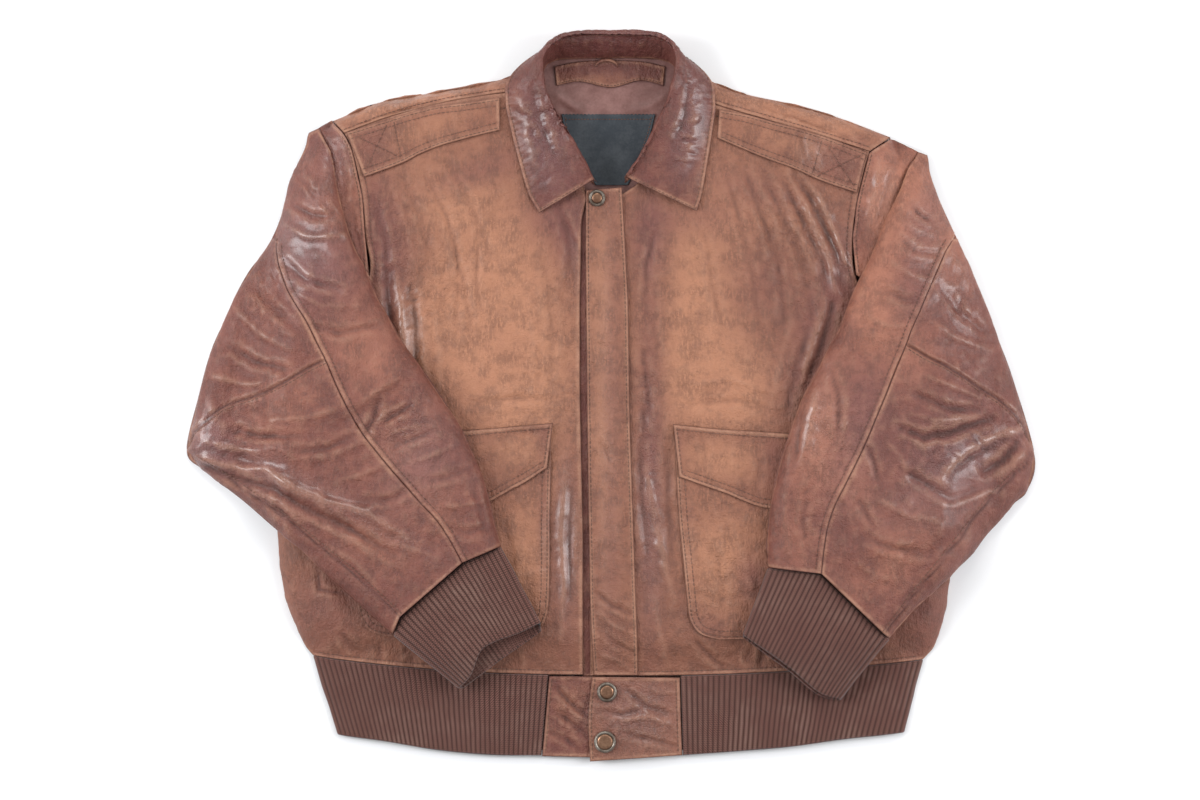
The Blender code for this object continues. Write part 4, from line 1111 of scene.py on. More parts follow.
@dataclass(frozen=True)
class KnitFinish:
    """Wool rib knit, with dusty loops and painted shade in its grooves."""

    name: str = "knit"
    yarn: tuple[float, float, float] = (0.19, 0.08, 0.063)
    # Colour of the painted shade between loops and between ribs.
    groove: tuple[float, float, float] = (0.03, 0.014, 0.01)
    faded: tuple[float, float, float] = (0.23, 0.14, 0.11)

    def material(self, effects: SharedEffects) -> bpy.types.Material:
        """Colours the loops by their height and darkens the rib grooves, both painted shade, and fades the high ribs.

        Args:
            effects: The shared node groups.

        Returns:
            The material.
        """
        board = Board(self.name)
        deep, _, fade, _ = board.attribute("patina_and_shading")
        loops = board.group(effects.knit, {"Lay": board.lay})
        mottle = board.group(effects.mottling, {"Place": board.place})
        # Painted shade: low places between loops take the groove colour.
        colour = board.graph.mixed(loops.outputs["Shade"], (*self.groove, 1), (*self.yarn, 1))
        worn = board.graph.times(fade, board.graph.ranged(mottle.outputs["Value"], 0.4, 0.65, 0.0, 0.8))
        colour = board.graph.mixed(worn, colour, (*self.faded, 1))
        # Painted shade in the grooves between ribs.
        colour = board.graph.mixed(deep, colour, (*self.groove, 1))
        board.link(colour, "Base Color")
        board.link(0.92, "Roughness")
        board.link(0.2, "Specular IOR Level")
        board.link(0.25, "Sheen Weight")
        board.link(0.5, "Sheen Roughness")
        board.bump(loops.outputs["Height"], 0.6, 0.0006)
        return board.material


@dataclass(frozen=True)
class ClothFinish:
    """Woven cloth of one colour: the lining, the label or thread."""

    name: str
    colour: tuple[float, float, float]
    pale: tuple[float, float, float]
    rough: float = 0.6
    weave: float = 9000.0
    depth: float = 0.2

    def material(self, effects: SharedEffects) -> bpy.types.Material:
        """Mixes the two tones by the mottling, paints a highlight on raised places, and adds the weave.

        Args:
            effects: The shared node groups.

        Returns:
            The material.
        """
        board = Board(self.name)
        mottle = board.group(effects.mottling, {"Place": board.place})
        share = board.graph.ranged(mottle.outputs["Value"], 0.38, 0.66, 0.0, 1.0)
        # Painted highlight: raised places take the pale colour.
        _, ridge, _, _ = board.attribute("shading_and_wear")
        share = board.graph.plus(share, board.graph.times(ridge, 0.5), clamp=True)
        board.link(board.graph.mixed(share, (*self.colour, 1), (*self.pale, 1)), "Base Color")
        board.link(self.rough, "Roughness")
        woven = board.group(effects.weave, {"Lay": board.lay, "Scale": self.weave})
        board.bump(woven.outputs["Height"], self.depth, 0.0003)
        return board.material


@dataclass(frozen=True)
class MetalFinish:
    """Aged metal of a snap."""

    name: str
    colour: tuple[float, float, float]
    tarnish: tuple[float, float, float]
    rough: float = 0.34

    def material(self, effects: SharedEffects) -> bpy.types.Material:
        """Tarnishes the metal unevenly.

        Args:
            effects: The shared node groups.

        Returns:
            The material.
        """
        board = Board(self.name)
        mottle = board.group(effects.mottling, {"Place": board.place})
        share = board.graph.ranged(mottle.outputs["Value"], 0.42, 0.6, 0.0, 1.0)
        board.link(board.graph.mixed(share, (*self.tarnish, 1), (*self.colour, 1)), "Base Color")
        board.link(0.92, "Metallic")
        board.link(board.graph.ranged(share, 0.0, 1.0, self.rough + 0.2, self.rough), "Roughness")
        return board.material


# ---------------------------------------------------------------- rails of the cut pieces, as (row, x, y)


SLEEVE_LEFT_OUTER: Line = numbered(
    306,137, 304,146, 296,163, 287,182, 281,210, 270,237, 258,256, 247,270, 234,293, 221,322, 208,352, 196,396,
    184,451, 200,470, 222,487, 243,503, 264,520, 284,536, 304,552, 325,573, 347,593, 369,613, 393,634,
)
SLEEVE_LEFT_LOWER: Line = numbered(
    308,132.5, 307,146, 299,163, 290,182, 284,210, 272.5,237.5, 262,257, 252,271, 239,294, 226,323, 213,353, 201,396,
    189,450, 205,466, 229,481, 251,495, 272,508, 293,523, 313,539, 334,556, 357,575, 379,595, 401,616,
)
SLEEVE_LEFT_MAIN: Line = numbered(
    312,128, 311,145.5, 304,163, 295,183, 288,211, 276,238, 277,258, 281,272, 288,290, 297,305, 308,322, 318,342,
    327,360, 339,388, 352,414, 365,435, 379,453, 393,470, 408,487, 422,503, 437,519, 450,538, 463,562,
)
SLEEVE_LEFT_INNER: Line = numbered(
    321,133, 326,143, 333,161, 338,186, 344,212, 352,236, 360,256, 367,270.5, 373,286, 381,303, 390,319, 398,334,
    407,348, 419,364, 430,379, 441,395, 451,411, 461,427, 470,446, 480,469, 488,493, 494,518, 501,546,
)
ARMHOLE_LEFT: Line = numbered(334,123.6, 343.4,133.7, 352,150, 357,173, 362,196, 363.5,216, 365,236, 369,274)
SLEEVE_RIGHT_OUTER: Line = numbered(
    930.5,160, 932,172, 938,190, 945,207, 952,222, 959,237, 966,252, 973,267, 981,286, 990,308, 1001,339, 1016,380,
    1037.5,456, 1030,491, 1017,504, 1003,521, 989,536, 974,555, 958,569, 943,584, 927,598, 911,613, 889.5,638.5,
)
SLEEVE_RIGHT_LOWER: Line = numbered(
    929,155.5, 929,172, 935,190, 942,207, 949,222, 956.5,237.5, 961,253, 968,268, 976,287, 985,309, 996,340, 1011,381,
    1031.5,453, 1016,474, 1002,489, 988,503, 973,521, 958,539, 944,556, 930,573, 916,590, 904,606, 883.5,634,
)
SLEEVE_RIGHT_MAIN: Line = numbered(
    925,151.5, 925,172, 931,190, 938,207, 945,223, 953,238, 946,251, 939,266, 932,281, 925,296, 918,312, 910,330,
    904,346, 893,372, 884,395, 874,419, 864,443, 854,464, 844,484, 834,504, 827,524, 823,546, 820,573,
)
SLEEVE_RIGHT_INNER: Line = numbered(
    916,157, 909,167, 900,189, 890,210, 881,227, 875,242, 867,261, 860,277, 852,294, 845,312, 838,329, 829,346,
    820,364, 810,382, 801,400, 794,419, 787,440, 780,460, 775,480, 771,502, 768,524, 766,546, 768,567,
)
ARMHOLE_RIGHT: Line = numbered(887,140.7, 870.5,151.7, 867.5,159.5, 863,177, 857,203, 855,221.5, 853,240, 856,275)
ELBOW_SEAM_LEFT: Line = (
    (327, 360), (310, 368), (290, 380), (270, 390), (250, 398), (235, 402), (220, 408), (205, 420), (190, 433),
    (184, 447),
)
ELBOW_SEAM_RIGHT: Line = (
    (904, 344), (925, 357), (945, 366), (960, 375), (980, 388), (1000, 400), (1015, 413), (1025, 425), (1034, 441),
)
SLEEVE_FOLDS_LEFT: tuple[Crease, ...] = pressed(
    (200,432, 250,450, 310,452, 12, 3.2), (345,425, 385,405, 410,385, 11, -3), (250,300, 300,345, 350,360, 13, 2.4),
    (250,480, 320,505, 390,525, 13, 3), (330,200, 318,250, 330,300, 12, -2.4),
)
SLEEVE_FOLDS_RIGHT: tuple[Crease, ...] = pressed(
    (1022,428, 960,448, 900,462, 12, 3.2), (915,335, 865,358, 825,366, 11, -3), (985,300, 935,335, 885,350, 13, 2.4),
    (975,510, 915,540, 850,552, 13, 3), (912,205, 925,260, 905,300, 12, -2.4),
)
CUFF_LEFT_JOINT: Line = ((0, 393, 634), (0.11, 401, 616), (0.68, 463, 562), (1, 501, 546))
CUFF_LEFT_HEM: Line = (
    (0, 459, 689), (0.2, 471, 675), (0.42, 483, 648), (0.55, 495, 641), (0.8, 520, 632), (1, 541, 622),
)
CUFF_LEFT_UNDER: Line = ((0, 461, 690), (0.25, 478, 677), (0.5, 500, 660), (0.75, 522, 645), (1, 543, 630))
CUFF_RIGHT_JOINT: Line = ((0, 889.5, 638.5), (0.05, 883.5, 634), (0.63, 820, 573), (1, 768, 567))
CUFF_RIGHT_HEM: Line = ((0, 841, 700), (0.25, 818, 692), (0.5, 790, 668), (0.75, 765, 650), (1, 742, 634))
CUFF_RIGHT_UNDER: Line = ((0, 842, 702), (0.25, 818, 695), (0.5, 789, 671), (0.75, 764, 653), (1, 741, 636))
PLACKET_LEFT: Line = numbered(
    586,190, 585.5,240, 586,300, 586.6,360, 587.2,420, 588,480, 589,540, 590,600, 592,645, 594,676.5,
)
PLACKET_RIGHT: Line = numbered(
    622,187, 625,240, 628,300, 629,360, 630,420, 632,480, 634,540, 636,600, 637.5,645, 638,676.5,
)
EPAULET_LEFT_UPPER: Line = numbered(346,132, 386,119.5, 410,112, 436,105.5, 462,102.5, 500,97)
EPAULET_LEFT_LOWER: Line = numbered(364,177, 400,164, 420,154, 440,146, 462,139.5, 500,130)
EPAULET_RIGHT_UPPER: Line = numbered(867,152, 830,138, 800,128.5, 775,122, 748,114.5, 719,109)
EPAULET_RIGHT_LOWER: Line = numbered(857,193, 822,181, 795,169, 770,160, 745,150, 717,138)
POCKET_LEFT_INNER: Line = numbered(551,427, 551,470, 550,515, 550,560, 549,600, 546,619, 537,633, 518,640)
POCKET_LEFT_OUTER: Line = numbered(357,433, 357,472, 357,515, 357,560, 357,596, 359,616, 369,631, 388,637)
POCKET_RIGHT_INNER: Line = numbered(674,428, 676,470, 678.5,515, 683,560, 687,600, 690,620, 700,634, 720,640)
POCKET_RIGHT_OUTER: Line = numbered(868,437, 869,475, 870,515, 871,560, 871,598, 868,618, 858,632, 840,638)
FLAP_LEFT_TOP: Line = ((0, 553, 423), (0.25, 506, 427), (0.5, 456, 431), (0.75, 405, 433), (1, 355, 436))
FLAP_LEFT_EDGE: Line = ((0, 547, 468), (0.25, 515, 488), (0.5, 457, 513), (0.75, 395, 492), (1, 360, 478))
FLAP_RIGHT_TOP: Line = ((0, 673, 424), (0.25, 722, 429), (0.5, 771, 432), (0.75, 822, 436), (1, 871, 440))
FLAP_RIGHT_EDGE: Line = ((0, 679, 477), (0.25, 724, 493), (0.5, 772, 509), (0.75, 826, 497), (1, 868, 482))


# ---------------------------------------------------------------- shared pieces of the maker's bench


@dataclass
class Bench:
    """What every sub-assembly works with: the laid form and the finishes."""

    form: Form
    front: bpy.types.Material
    body: bpy.types.Material
    sleeve: bpy.types.Material
    knit: bpy.types.Material
    satin: bpy.types.Material
    label: bpy.types.Material
    thread: bpy.types.Material
    pewter: bpy.types.Material
    copper: bpy.types.Material

    def leather(self, slot: str) -> bpy.types.Material:
        """Finish that belongs to a slot of the record."""
        return {"leather_front": self.front, "leather_body": self.body, "leather_sleeve": self.sleeve}[slot]

    def cut(self, name: str, slot: str, net: Net, wall: float, wear_and_shading: WearAndShading, lines: list[Array] | None = None,
            over: Array | float = 0.0, **ways: object) -> Cloth:
        """Cuts one piece of worn leather and lays it.

        Args:
            name: Its name, which is also the name of its solid.
            slot: Its slot in the record.
            net: Where it lies.
            wall: Its thickness.
            wear_and_shading: Its creases and patches.
            lines: Its lines of stitching.
            over: Height of its own welts and grooves.
            ways: How it is held, what it rests on and where its edge is turned.

        Returns:
            The finished cloth.
        """
        xy = net.points[..., :2]
        made = Cloth(name, (name,), slot, net, wall, lift=wear_and_shading.relief(xy, lines) + over, patina_and_shading=wear_and_shading.patina_and_shading(xy), **ways)
        made.build(self.leather(slot))
        return made

    def sew(self, name: str, slot: str, cloth: Cloth, lines: list[Array], stitch: float = 3.4) -> None:
        """Sews runs of stitches along lines on one cloth, as one piece."""
        stitching = Stitching(name, slot)
        stitching.add(cloth, lines, stitch)
        stitching.build(self.thread)


# ---------------------------------------------------------------- fronts


@dataclass
class Front:
    """One front panel, from the side seam to the zip and from the hem to the shoulder."""

    side: Side
    rail: Line
    centre: Line
    bow: Line
    wear_and_shading: WearAndShading
    wall: float = 1.5
    rows: tuple[float, float] = (0, 16)

    def build(self, bench: Bench) -> Cloth:
        """Builds the panel with its seams and creases.

        Args:
            bench: The form and the finishes.

        Returns:
            The finished cloth.
        """
        rows, across = evenly_across(self.rail, self.centre, self.rows, FINE, Rim.ALL)
        xy = bowed(between(along(self.rail, rows), along(self.centre, rows), across), self.bow, rows, across)
        net = Net(raised(xy, bench.form.height(xy)))
        name = f"front_{self.side.value}"
        armhole = curve(self.rail, 12, 16)
        hem = bowed(between(*(along(r, np.zeros(1)) for r in (self.rail, self.centre)), np.linspace(0.02, 0.98, 60)),
                    self.bow, np.zeros(1), np.linspace(0.02, 0.98, 60))[0]
        sign = 1 if self.side is Side.LEFT else -1
        shoulder = along(self.rail, [15.8])[0] + np.linspace(0, 1, 40)[:, None] * (
            along(self.centre, [15.8])[0] - along(self.rail, [15.8])[0])
        lines = [beside(armhole, 6.0 * sign), hem - [0, 4.5], shoulder + [0, 4.0]]
        made = bench.cut(name, "leather_front", net, self.wall, self.wear_and_shading, lines, rests_on=("back_panel",))
        bench.sew(f"{name}_stitches", "leather_front", made, lines)
        return made


def bowed(xy: Array, bow: Line, rows: Array, across: Array) -> Array:
    """Rows whose middle sags by the values of a bow curve."""
    middle = along(bow, rows)
    xy = xy.copy()
    xy[..., 1] += middle * 4 * across * (1 - across)
    return xy


FRONT_LEFT_RAIL: Line = numbered(
    311,657, 302,646, 293,627, 283.5,602, 277.5,568, 275.2,534, 273.5,490, 272,450, 272.3,405, 280,368, 306,356,
    350,322, 369,274, 365,236, 362,196, 352,150, 344,133,
)
FRONT_LEFT_ZIP: Line = numbered(
    583,676, 583,664, 583,645, 583,610, 583,570, 583,530, 582,485, 581,440, 580,395, 580,350, 580,305, 581,260,
    582,222, 586,193, 571,157, 549,121, 541,90,
)
FRONT_LEFT_BOW: Line = ((0, 5), (1, 4), (2, 2), (3, 0), (14, 0), (15, -5), (16, -10))
FRONT_RIGHT_RAIL: Line = numbered(
    925.5,661, 936,649, 943,629, 949,607, 952.8,575, 954,535, 955,490, 956,450, 955.6,405, 950,374, 925,362, 878,328,
    856,275, 853,240, 857,203, 865,168, 870,151,
)
FRONT_RIGHT_ZIP: Line = numbered(
    590,677, 590,664, 590,645, 590,610, 590,570, 590,530, 590,485, 590,440, 590,395, 590,350, 590,305, 590,262,
    592,228, 614,200, 643,177, 664,131, 676,92,
)
FRONT_RIGHT_BOW: Line = ((0, 5), (1, 4), (2, 2), (3, 0), (16, 0))

FRONT_LEFT_WEAR_AND_SHADING = WearAndShading(
    creases=pressed(
        (386,272, 389,310, 388,352, 394,388, 4.5, -2.6), (412,288, 416,330, 415,368, 424,402, 4.5, -2.4),
        (400,280, 402,330, 404,380, 4, 2), (432,300, 438,345, 440,390, 5, 1.6), (372,195, 385,240, 388,280, 4, -1.3),
        (400,175, 420,215, 432,262, 4, -1.2), (420,165, 446,215, 462,275, 470,330, 3.6, -1.1),
        (446,158, 474,212, 492,262, 3.6, -1), (392,185, 408,230, 414,270, 3.4, 1),
        (455,240, 458,290, 456,335, 3, -0.9), (478,235, 476,280, 482,322, 3, -0.9),
        (558,205, 570,240, 574,290, 5, -1.8), (545,260, 552,330, 549,395, 4, -1), (528,300, 534,350, 530,410, 4, 0.9),
        (470,405, 510,398, 555,400, 4, -0.9), (566,470, 560,520, 564,580, 560,640, 4.5, 1.6),
        (572,490, 569,545, 571,600, 3.5, -1.3), (340,634, 350,648, 357,656, 3.5, -1.4),
        (318,568, 318,590, 345,594, 2.4, -1.2), (378,645, 380,656, 378,664, 3, -1), (400,645, 402,656, 400,666, 3, 1),
        (430,648, 428,658, 432,668, 3, -0.9), (480,650, 484,662, 480,672, 3, -0.9),
        (520,650, 524,662, 522,674, 3, 0.9),
    ),
    patches=in_patches(
        tan=(
            (528,450, 24,70, 0, 0.9), (500,290, 62,100, 0, 1), (520,380, 60,60, 0, 0.95), (430,320, 40,60, 0, 0.55),
            (440,200, 50,40, 20, 0.6),
        ),
        plum=(
            (560,212, 34,30, 20, 0.9), (480,170, 60,16, -20, 0.55), (372,230, 14,60, 0, 0.8),
            (404,250, 20,50, 0, 0.45), (388,300, 14,90, 0, 0.75), (570,235, 14,40, 0, 0.8), (330,600, 40,60, 30, 0.6),
            (566,560, 14,100, 0, 0.5),
        ),
        shine=((566,540, 12,90, 0, 0.9), (400,330, 20,60, 0, 0.6)),
        crinkle=(
            (432,285, 50,48, 0, 0.55), (395,220, 30,60, 0, 0.4), (440,652, 90,14, 0, 0.6), (566,300, 14,60, 0, 0.4),
        ),
    ),
)
FRONT_RIGHT_WEAR_AND_SHADING = WearAndShading(
    creases=pressed(
        (795,175, 812,200, 835,250, 845,292, 4.5, -2.4), (778,168, 800,215, 822,262, 832,310, 4, -1.6),
        (760,166, 780,210, 802,262, 812,318, 4, -1.3), (742,160, 758,205, 778,262, 786,330, 4, -1.3),
        (722,160, 738,215, 752,275, 760,335, 3.6, -1), (705,235, 712,285, 722,332, 3.6, -1),
        (812,185, 832,228, 846,262, 4, 1.6), (835,300, 822,345, 806,385, 5, -2.2),
        (808,330, 796,372, 786,415, 4.5, -1.6), (790,320, 780,365, 770,410, 4, 1.3),
        (655,232, 647,262, 645,302, 3.4, -1.5), (662,250, 658,300, 662,352, 4, 1),
        (645,470, 655,520, 664,562, 675,602, 5, 1.8), (640,440, 642,500, 648,560, 4, -1.2),
        (668,440, 668,500, 673,560, 4, -1.2), (695,640, 708,655, 726,671, 3.2, -1.2),
        (655,600, 660,635, 668,668, 4, 1.1), (642,350, 648,395, 644,440, 3.6, -1),
        (690,385, 730,378, 772,392, 4, 0.9), (690,405, 735,400, 780,412, 3.6, -0.8),
        (760,645, 764,656, 760,668, 3, -1), (800,643, 802,655, 798,666, 3, 0.9), (745,648, 742,660, 746,670, 3, 0.8),
    ),
    patches=in_patches(
        tan=(
            (700,370, 50,75, 0, 1), (700,260, 45,70, 0, 0.75), (752,395, 50,40, 0, 0.7), (760,200, 60,40, 30, 0.35),
        ),
        plum=(
            (700,215, 40,20, 0, 0.4), (760,190, 60,18, 18, 0.5), (650,230, 22,44, 0, 0.7), (650,450, 14,190, 0, 0.85),
            (765,285, 40,55, -15, 0.45), (838,290, 26,60, 10, 0.9), (800,380, 26,55, 20, 0.7),
            (930,610, 40,60, 0, 0.7),
        ),
        shine=((652,520, 12,100, 0, 0.8), (830,240, 22,50, -20, 0.6)),
        crinkle=(
            (648,420, 14,170, 0, 0.6), (790,240, 55,65, 20, 0.5), (770,655, 80,14, 0, 0.6), (805,370, 30,60, 10, 0.4),
        ),
    ),
)


# ---------------------------------------------------------------- trim on the fronts


@dataclass
class Strap:
    """A narrow piece of leather that lies on the panels, such as the placket or an epaulet."""

    name: str
    first: Line
    last: Line
    wear_and_shading: WearAndShading
    stop: float
    lift: float = 0.8
    wall: float = 1.8
    seams: tuple[float, ...] = ()
    crosses: tuple[Line, ...] = ()
    step: float = 2.0

    def build(self, bench: Bench) -> Cloth:
        """Builds the strap with a line of stitching beside each edge.

        Args:
            bench: The form and the finishes.

        Returns:
            The finished cloth.
        """
        rows, across = evenly_across(self.first, self.last, (0, self.stop), self.step, Rim.ALL)
        xy = between(along(self.first, rows), along(self.last, rows), across)
        net = Net(raised(xy, bench.form.height(xy) + self.lift + self.wall))
        t = np.linspace(0.02, self.stop - 0.02, 80)
        a, b = along(self.first, t), along(self.last, t)
        wide = np.linalg.norm(b - a, axis=1, keepdims=True)
        lines = [(a if inset >= 0 else b) + (b - a) * (inset / wide) for inset in self.seams]
        lines += [np.array(self.densely(line)) for line in self.crosses]
        made = bench.cut(self.name, "leather_front", net, self.wall, self.wear_and_shading, lines,
                         rests_on=("front_left", "front_right"))
        bench.sew(f"{self.name}_stitches", "leather_front", made, lines)
        return made

    def densely(self, line: Line) -> Array:
        """A polyline with a point every few millimetres."""
        points = np.array(line, float)
        t = np.arange(len(points))
        return straight(tuple((k, *p) for k, p in zip(t, points)), np.linspace(0, len(points) - 1, 40))


@dataclass
class Pocket:
    """A patch pocket with rounded lower corners and its pointed flap."""

    side: Side
    inner: Line
    outer: Line
    top: Line
    edge: Line
    body_wear_and_shading: WearAndShading
    flap_wear_and_shading: WearAndShading
    wall: float = 1.5
    lift: float = 0.8
    seams: tuple[float, float] = (3.0, 8.5)
    flap_depth: float = 62.0
    flap_seams: tuple[float, float] = (4.0, 9.5)
    flap_fold: float = 5.0

    def build(self, bench: Bench) -> None:
        """Builds the pocket's body, then the flap over it.

        Args:
            bench: The form and the finishes.
        """
        rows, across = evenly_across(self.inner, self.outer, (0, 7), FINE, Rim.ALL)
        xy = between(along(self.inner, rows), along(self.outer, rows), across)
        name = f"pocket_{self.side.value}"
        run = np.linspace(0.1, 7, 90)
        inner, outer = along(self.inner, run), along(self.outer, run)
        loop = np.concatenate([inner, np.linspace(inner[-1], outer[-1], 30)[1:-1], outer[::-1]])
        sign = 1 if self.side is Side.LEFT else -1
        lines = [beside(loop, inset * sign) for inset in self.seams]
        net = Net(raised(xy, bench.form.height(xy) + self.lift + self.wall))
        made = bench.cut(name, "leather_front", net, self.wall, self.body_wear_and_shading, lines,
                         rests_on=(f"front_{self.side.value}",))
        bench.sew(f"{name}_stitches", "leather_front", made, lines)
        self.flap(bench, sign)

    def flap(self, bench: Bench, sign: int) -> None:
        """Builds the flap.

        Args:
            bench: The form and the finishes.
            sign: 1 where the flap runs to the viewer's left, or -1.
        """
        wide = float(np.linalg.norm(np.array(self.top[0][1:]) - np.array(self.top[-1][1:])))
        share = spaced(wide, 2.2, True, True)
        down = spaced(self.flap_depth, 2.2, True, True)
        xy = between(along(self.top, share), along(self.edge, share), down).transpose(1, 0, 2)
        t = np.linspace(0, 1, 120)
        top, edge = along(self.top, t), along(self.edge, t)
        side = straight(((0, *top[0]), (1, *edge[0])), np.linspace(0.04, 0.96, 30))
        tall = np.linalg.norm(edge - top, axis=1, keepdims=True)
        lower, second = (edge + (top - edge) * (inset / tall) for inset in self.flap_seams)
        upper = top + (edge - top) * (self.flap_fold / tall)
        inward = np.array([-3.5 * sign, 0.5])
        lines = [lower[3:], second[5:], upper[2:], side + inward]
        name = f"flap_{self.side.value}"
        height = bench.form.height(xy) + 2 * self.lift + 2 * self.wall
        ridge = np.exp(-((to_line(xy, top)[0] - 2.5) / 2.0) ** 2) * 0.8
        made = bench.cut(name, "leather_front", Net(raised(xy, height)), self.wall, self.flap_wear_and_shading, lines, ridge,
                         rests_on=(f"pocket_{self.side.value}",))
        bench.sew(f"{name}_stitches", "leather_front", made, lines)


# ---------------------------------------------------------------- back, waistband and neck


@dataclass
class Back:
    """The back panel, flat on the table, folded over at both shoulders."""

    wall: float = 1.2
    left_side: Line = numbered(314.5,655, 305.5,644, 286.5,602, 278,540, 275,450, 280,366, 330,338, 338,274, 337,180)
    right_side: Line = numbered(922,659, 932,647, 946,604, 951,540, 952.5,450, 949,370, 900,340, 886,274, 884,190)
    neck_left: Line = numbered(500,673, 500,650, 502,602, 505,540, 510,450, 516,366, 520,310, 526,230, 532,140)
    neck_right: Line = numbered(722,673, 722,650, 720,602, 717,540, 712,450, 706,366, 702,310, 696,230, 690,140)
    fold_left: Line = ((0, 331.5, 119.5), (0.25, 380, 100.4), (0.5, 430, 91.4), (0.75, 488, 80.8), (1, 537, 67.5))
    fold_right: Line = ((0, 892, 136), (0.25, 842, 117), (0.5, 790, 102), (0.75, 740, 90.5), (1, 684, 67.5))
    wrap: Line = numbered(0.26,0, 0.06,1.2, 0,4.5, 0.05,0, 0.22,0, 0.55,0, 1,0)
    wear_and_shading: WearAndShading = WearAndShading(
        creases=pressed(
            (345,126, 380,113, 440,101, 3, -1.4), (390,111, 415,105, 442,100, 2.5, -1.2),
            (760,104, 800,117, 850,137, 3, -1.3), (455,92, 458,98, 452,104, 2.5, 0.8),
        ),
        patches=in_patches(
            tan=((420,98, 110,26, -12, 1.2), (800,110, 110,26, 14, 1.2)),
            shine=((420,98, 90,10, -12, 0.5),),
            crinkle=((400,108, 60,10, -12, 0.5), (800,118, 80,12, 14, 0.4)),
        ),
    )

    def wrapped(self, form: Form, fold: Array, seam: Array, steps: Array) -> Array:
        """Rows from the flat back, round the shoulder's fold, to the seam in front.

        Args:
            form: Heights of the layers.
            fold: Places of the fold, across.
            seam: Places of the seam, across.
            steps: Steps along the wrap, from 0 to 6.

        Returns:
            One row of points for each step.
        """
        share = straight(self.wrap, steps)[:, :1, None]
        xy = fold[None] * (1 - share) + seam[None] * share
        body = form.height(xy)
        under = np.interp(steps, [0, 1, 2], [0, 1.2, 4.5])[:, None]
        blend = smooth((steps - 2.0) / 0.9)[:, None]
        return raised(xy, np.where(steps[:, None] > 2, under * (1 - blend) + body * blend, under))

    def build(self, bench: Bench) -> Cloth:
        """Builds the panel in one piece.

        Args:
            bench: The form and the finishes.

        Returns:
            The finished cloth.
        """
        share = spaced(200.0, 4.0, True, True)
        flat_rows = np.concatenate([[0, 0.03], np.linspace(0.2, 8, 46)])
        steps = np.concatenate([np.linspace(0, 2, 7), np.linspace(2, 6, 34)[1:]])
        seam_left = bowed(between(along(FRONT_LEFT_RAIL, [16]), along(FRONT_LEFT_ZIP, [16]), share),
                          FRONT_LEFT_BOW, np.array([16.0]), share)[0]
        seam_right = bowed(between(along(FRONT_RIGHT_RAIL, [16]), along(FRONT_RIGHT_ZIP, [16]), share),
                           FRONT_RIGHT_BOW, np.array([16.0]), share)[0]
        left = between(along(self.left_side, flat_rows), along(self.neck_left, flat_rows), share)
        right = between(along(self.right_side, flat_rows), along(self.neck_right, flat_rows), share)[:, ::-1]
        wrap_left = self.wrapped(bench.form, along(self.fold_left, share), seam_left, steps)
        wrap_right = self.wrapped(bench.form, along(self.fold_right, share), seam_right, steps)[:, ::-1]
        left = np.concatenate([raised(left, 0.0), wrap_left])
        right = np.concatenate([raised(right, 0.0), wrap_right])
        middle_share = np.linspace(0, 1, 30)[1:-1, None]
        middle = left[:, -1:] * (1 - middle_share) + right[:, :1] * middle_share
        points = np.concatenate([left, middle, right], 1)
        used = np.ones((points.shape[0] - 1, points.shape[1] - 1), bool)
        used[len(flat_rows):, left.shape[1] - 1: left.shape[1] - 1 + middle.shape[1] + 1] = False
        xy = points[..., :2]
        shown = np.zeros(points.shape[:2])
        shown[len(flat_rows) + 8:] = 1.0
        stitches = [np.array(row)[:, :2] for row in (wrap_left[-3] + [0, -2.2, 0], wrap_right[-3] + [0, -2.2, 0])]
        made = Cloth("back_panel", ("back_panel",), "leather_body", Net(points, down=True), self.wall,
                     lift=self.wear_and_shading.relief(xy, stitches) * shown, patina_and_shading=self.wear_and_shading.patina_and_shading(xy), used=used)
        made.build(bench.body)
        bench.sew("shoulder_stitches", "leather_body", made, stitches)
        return made


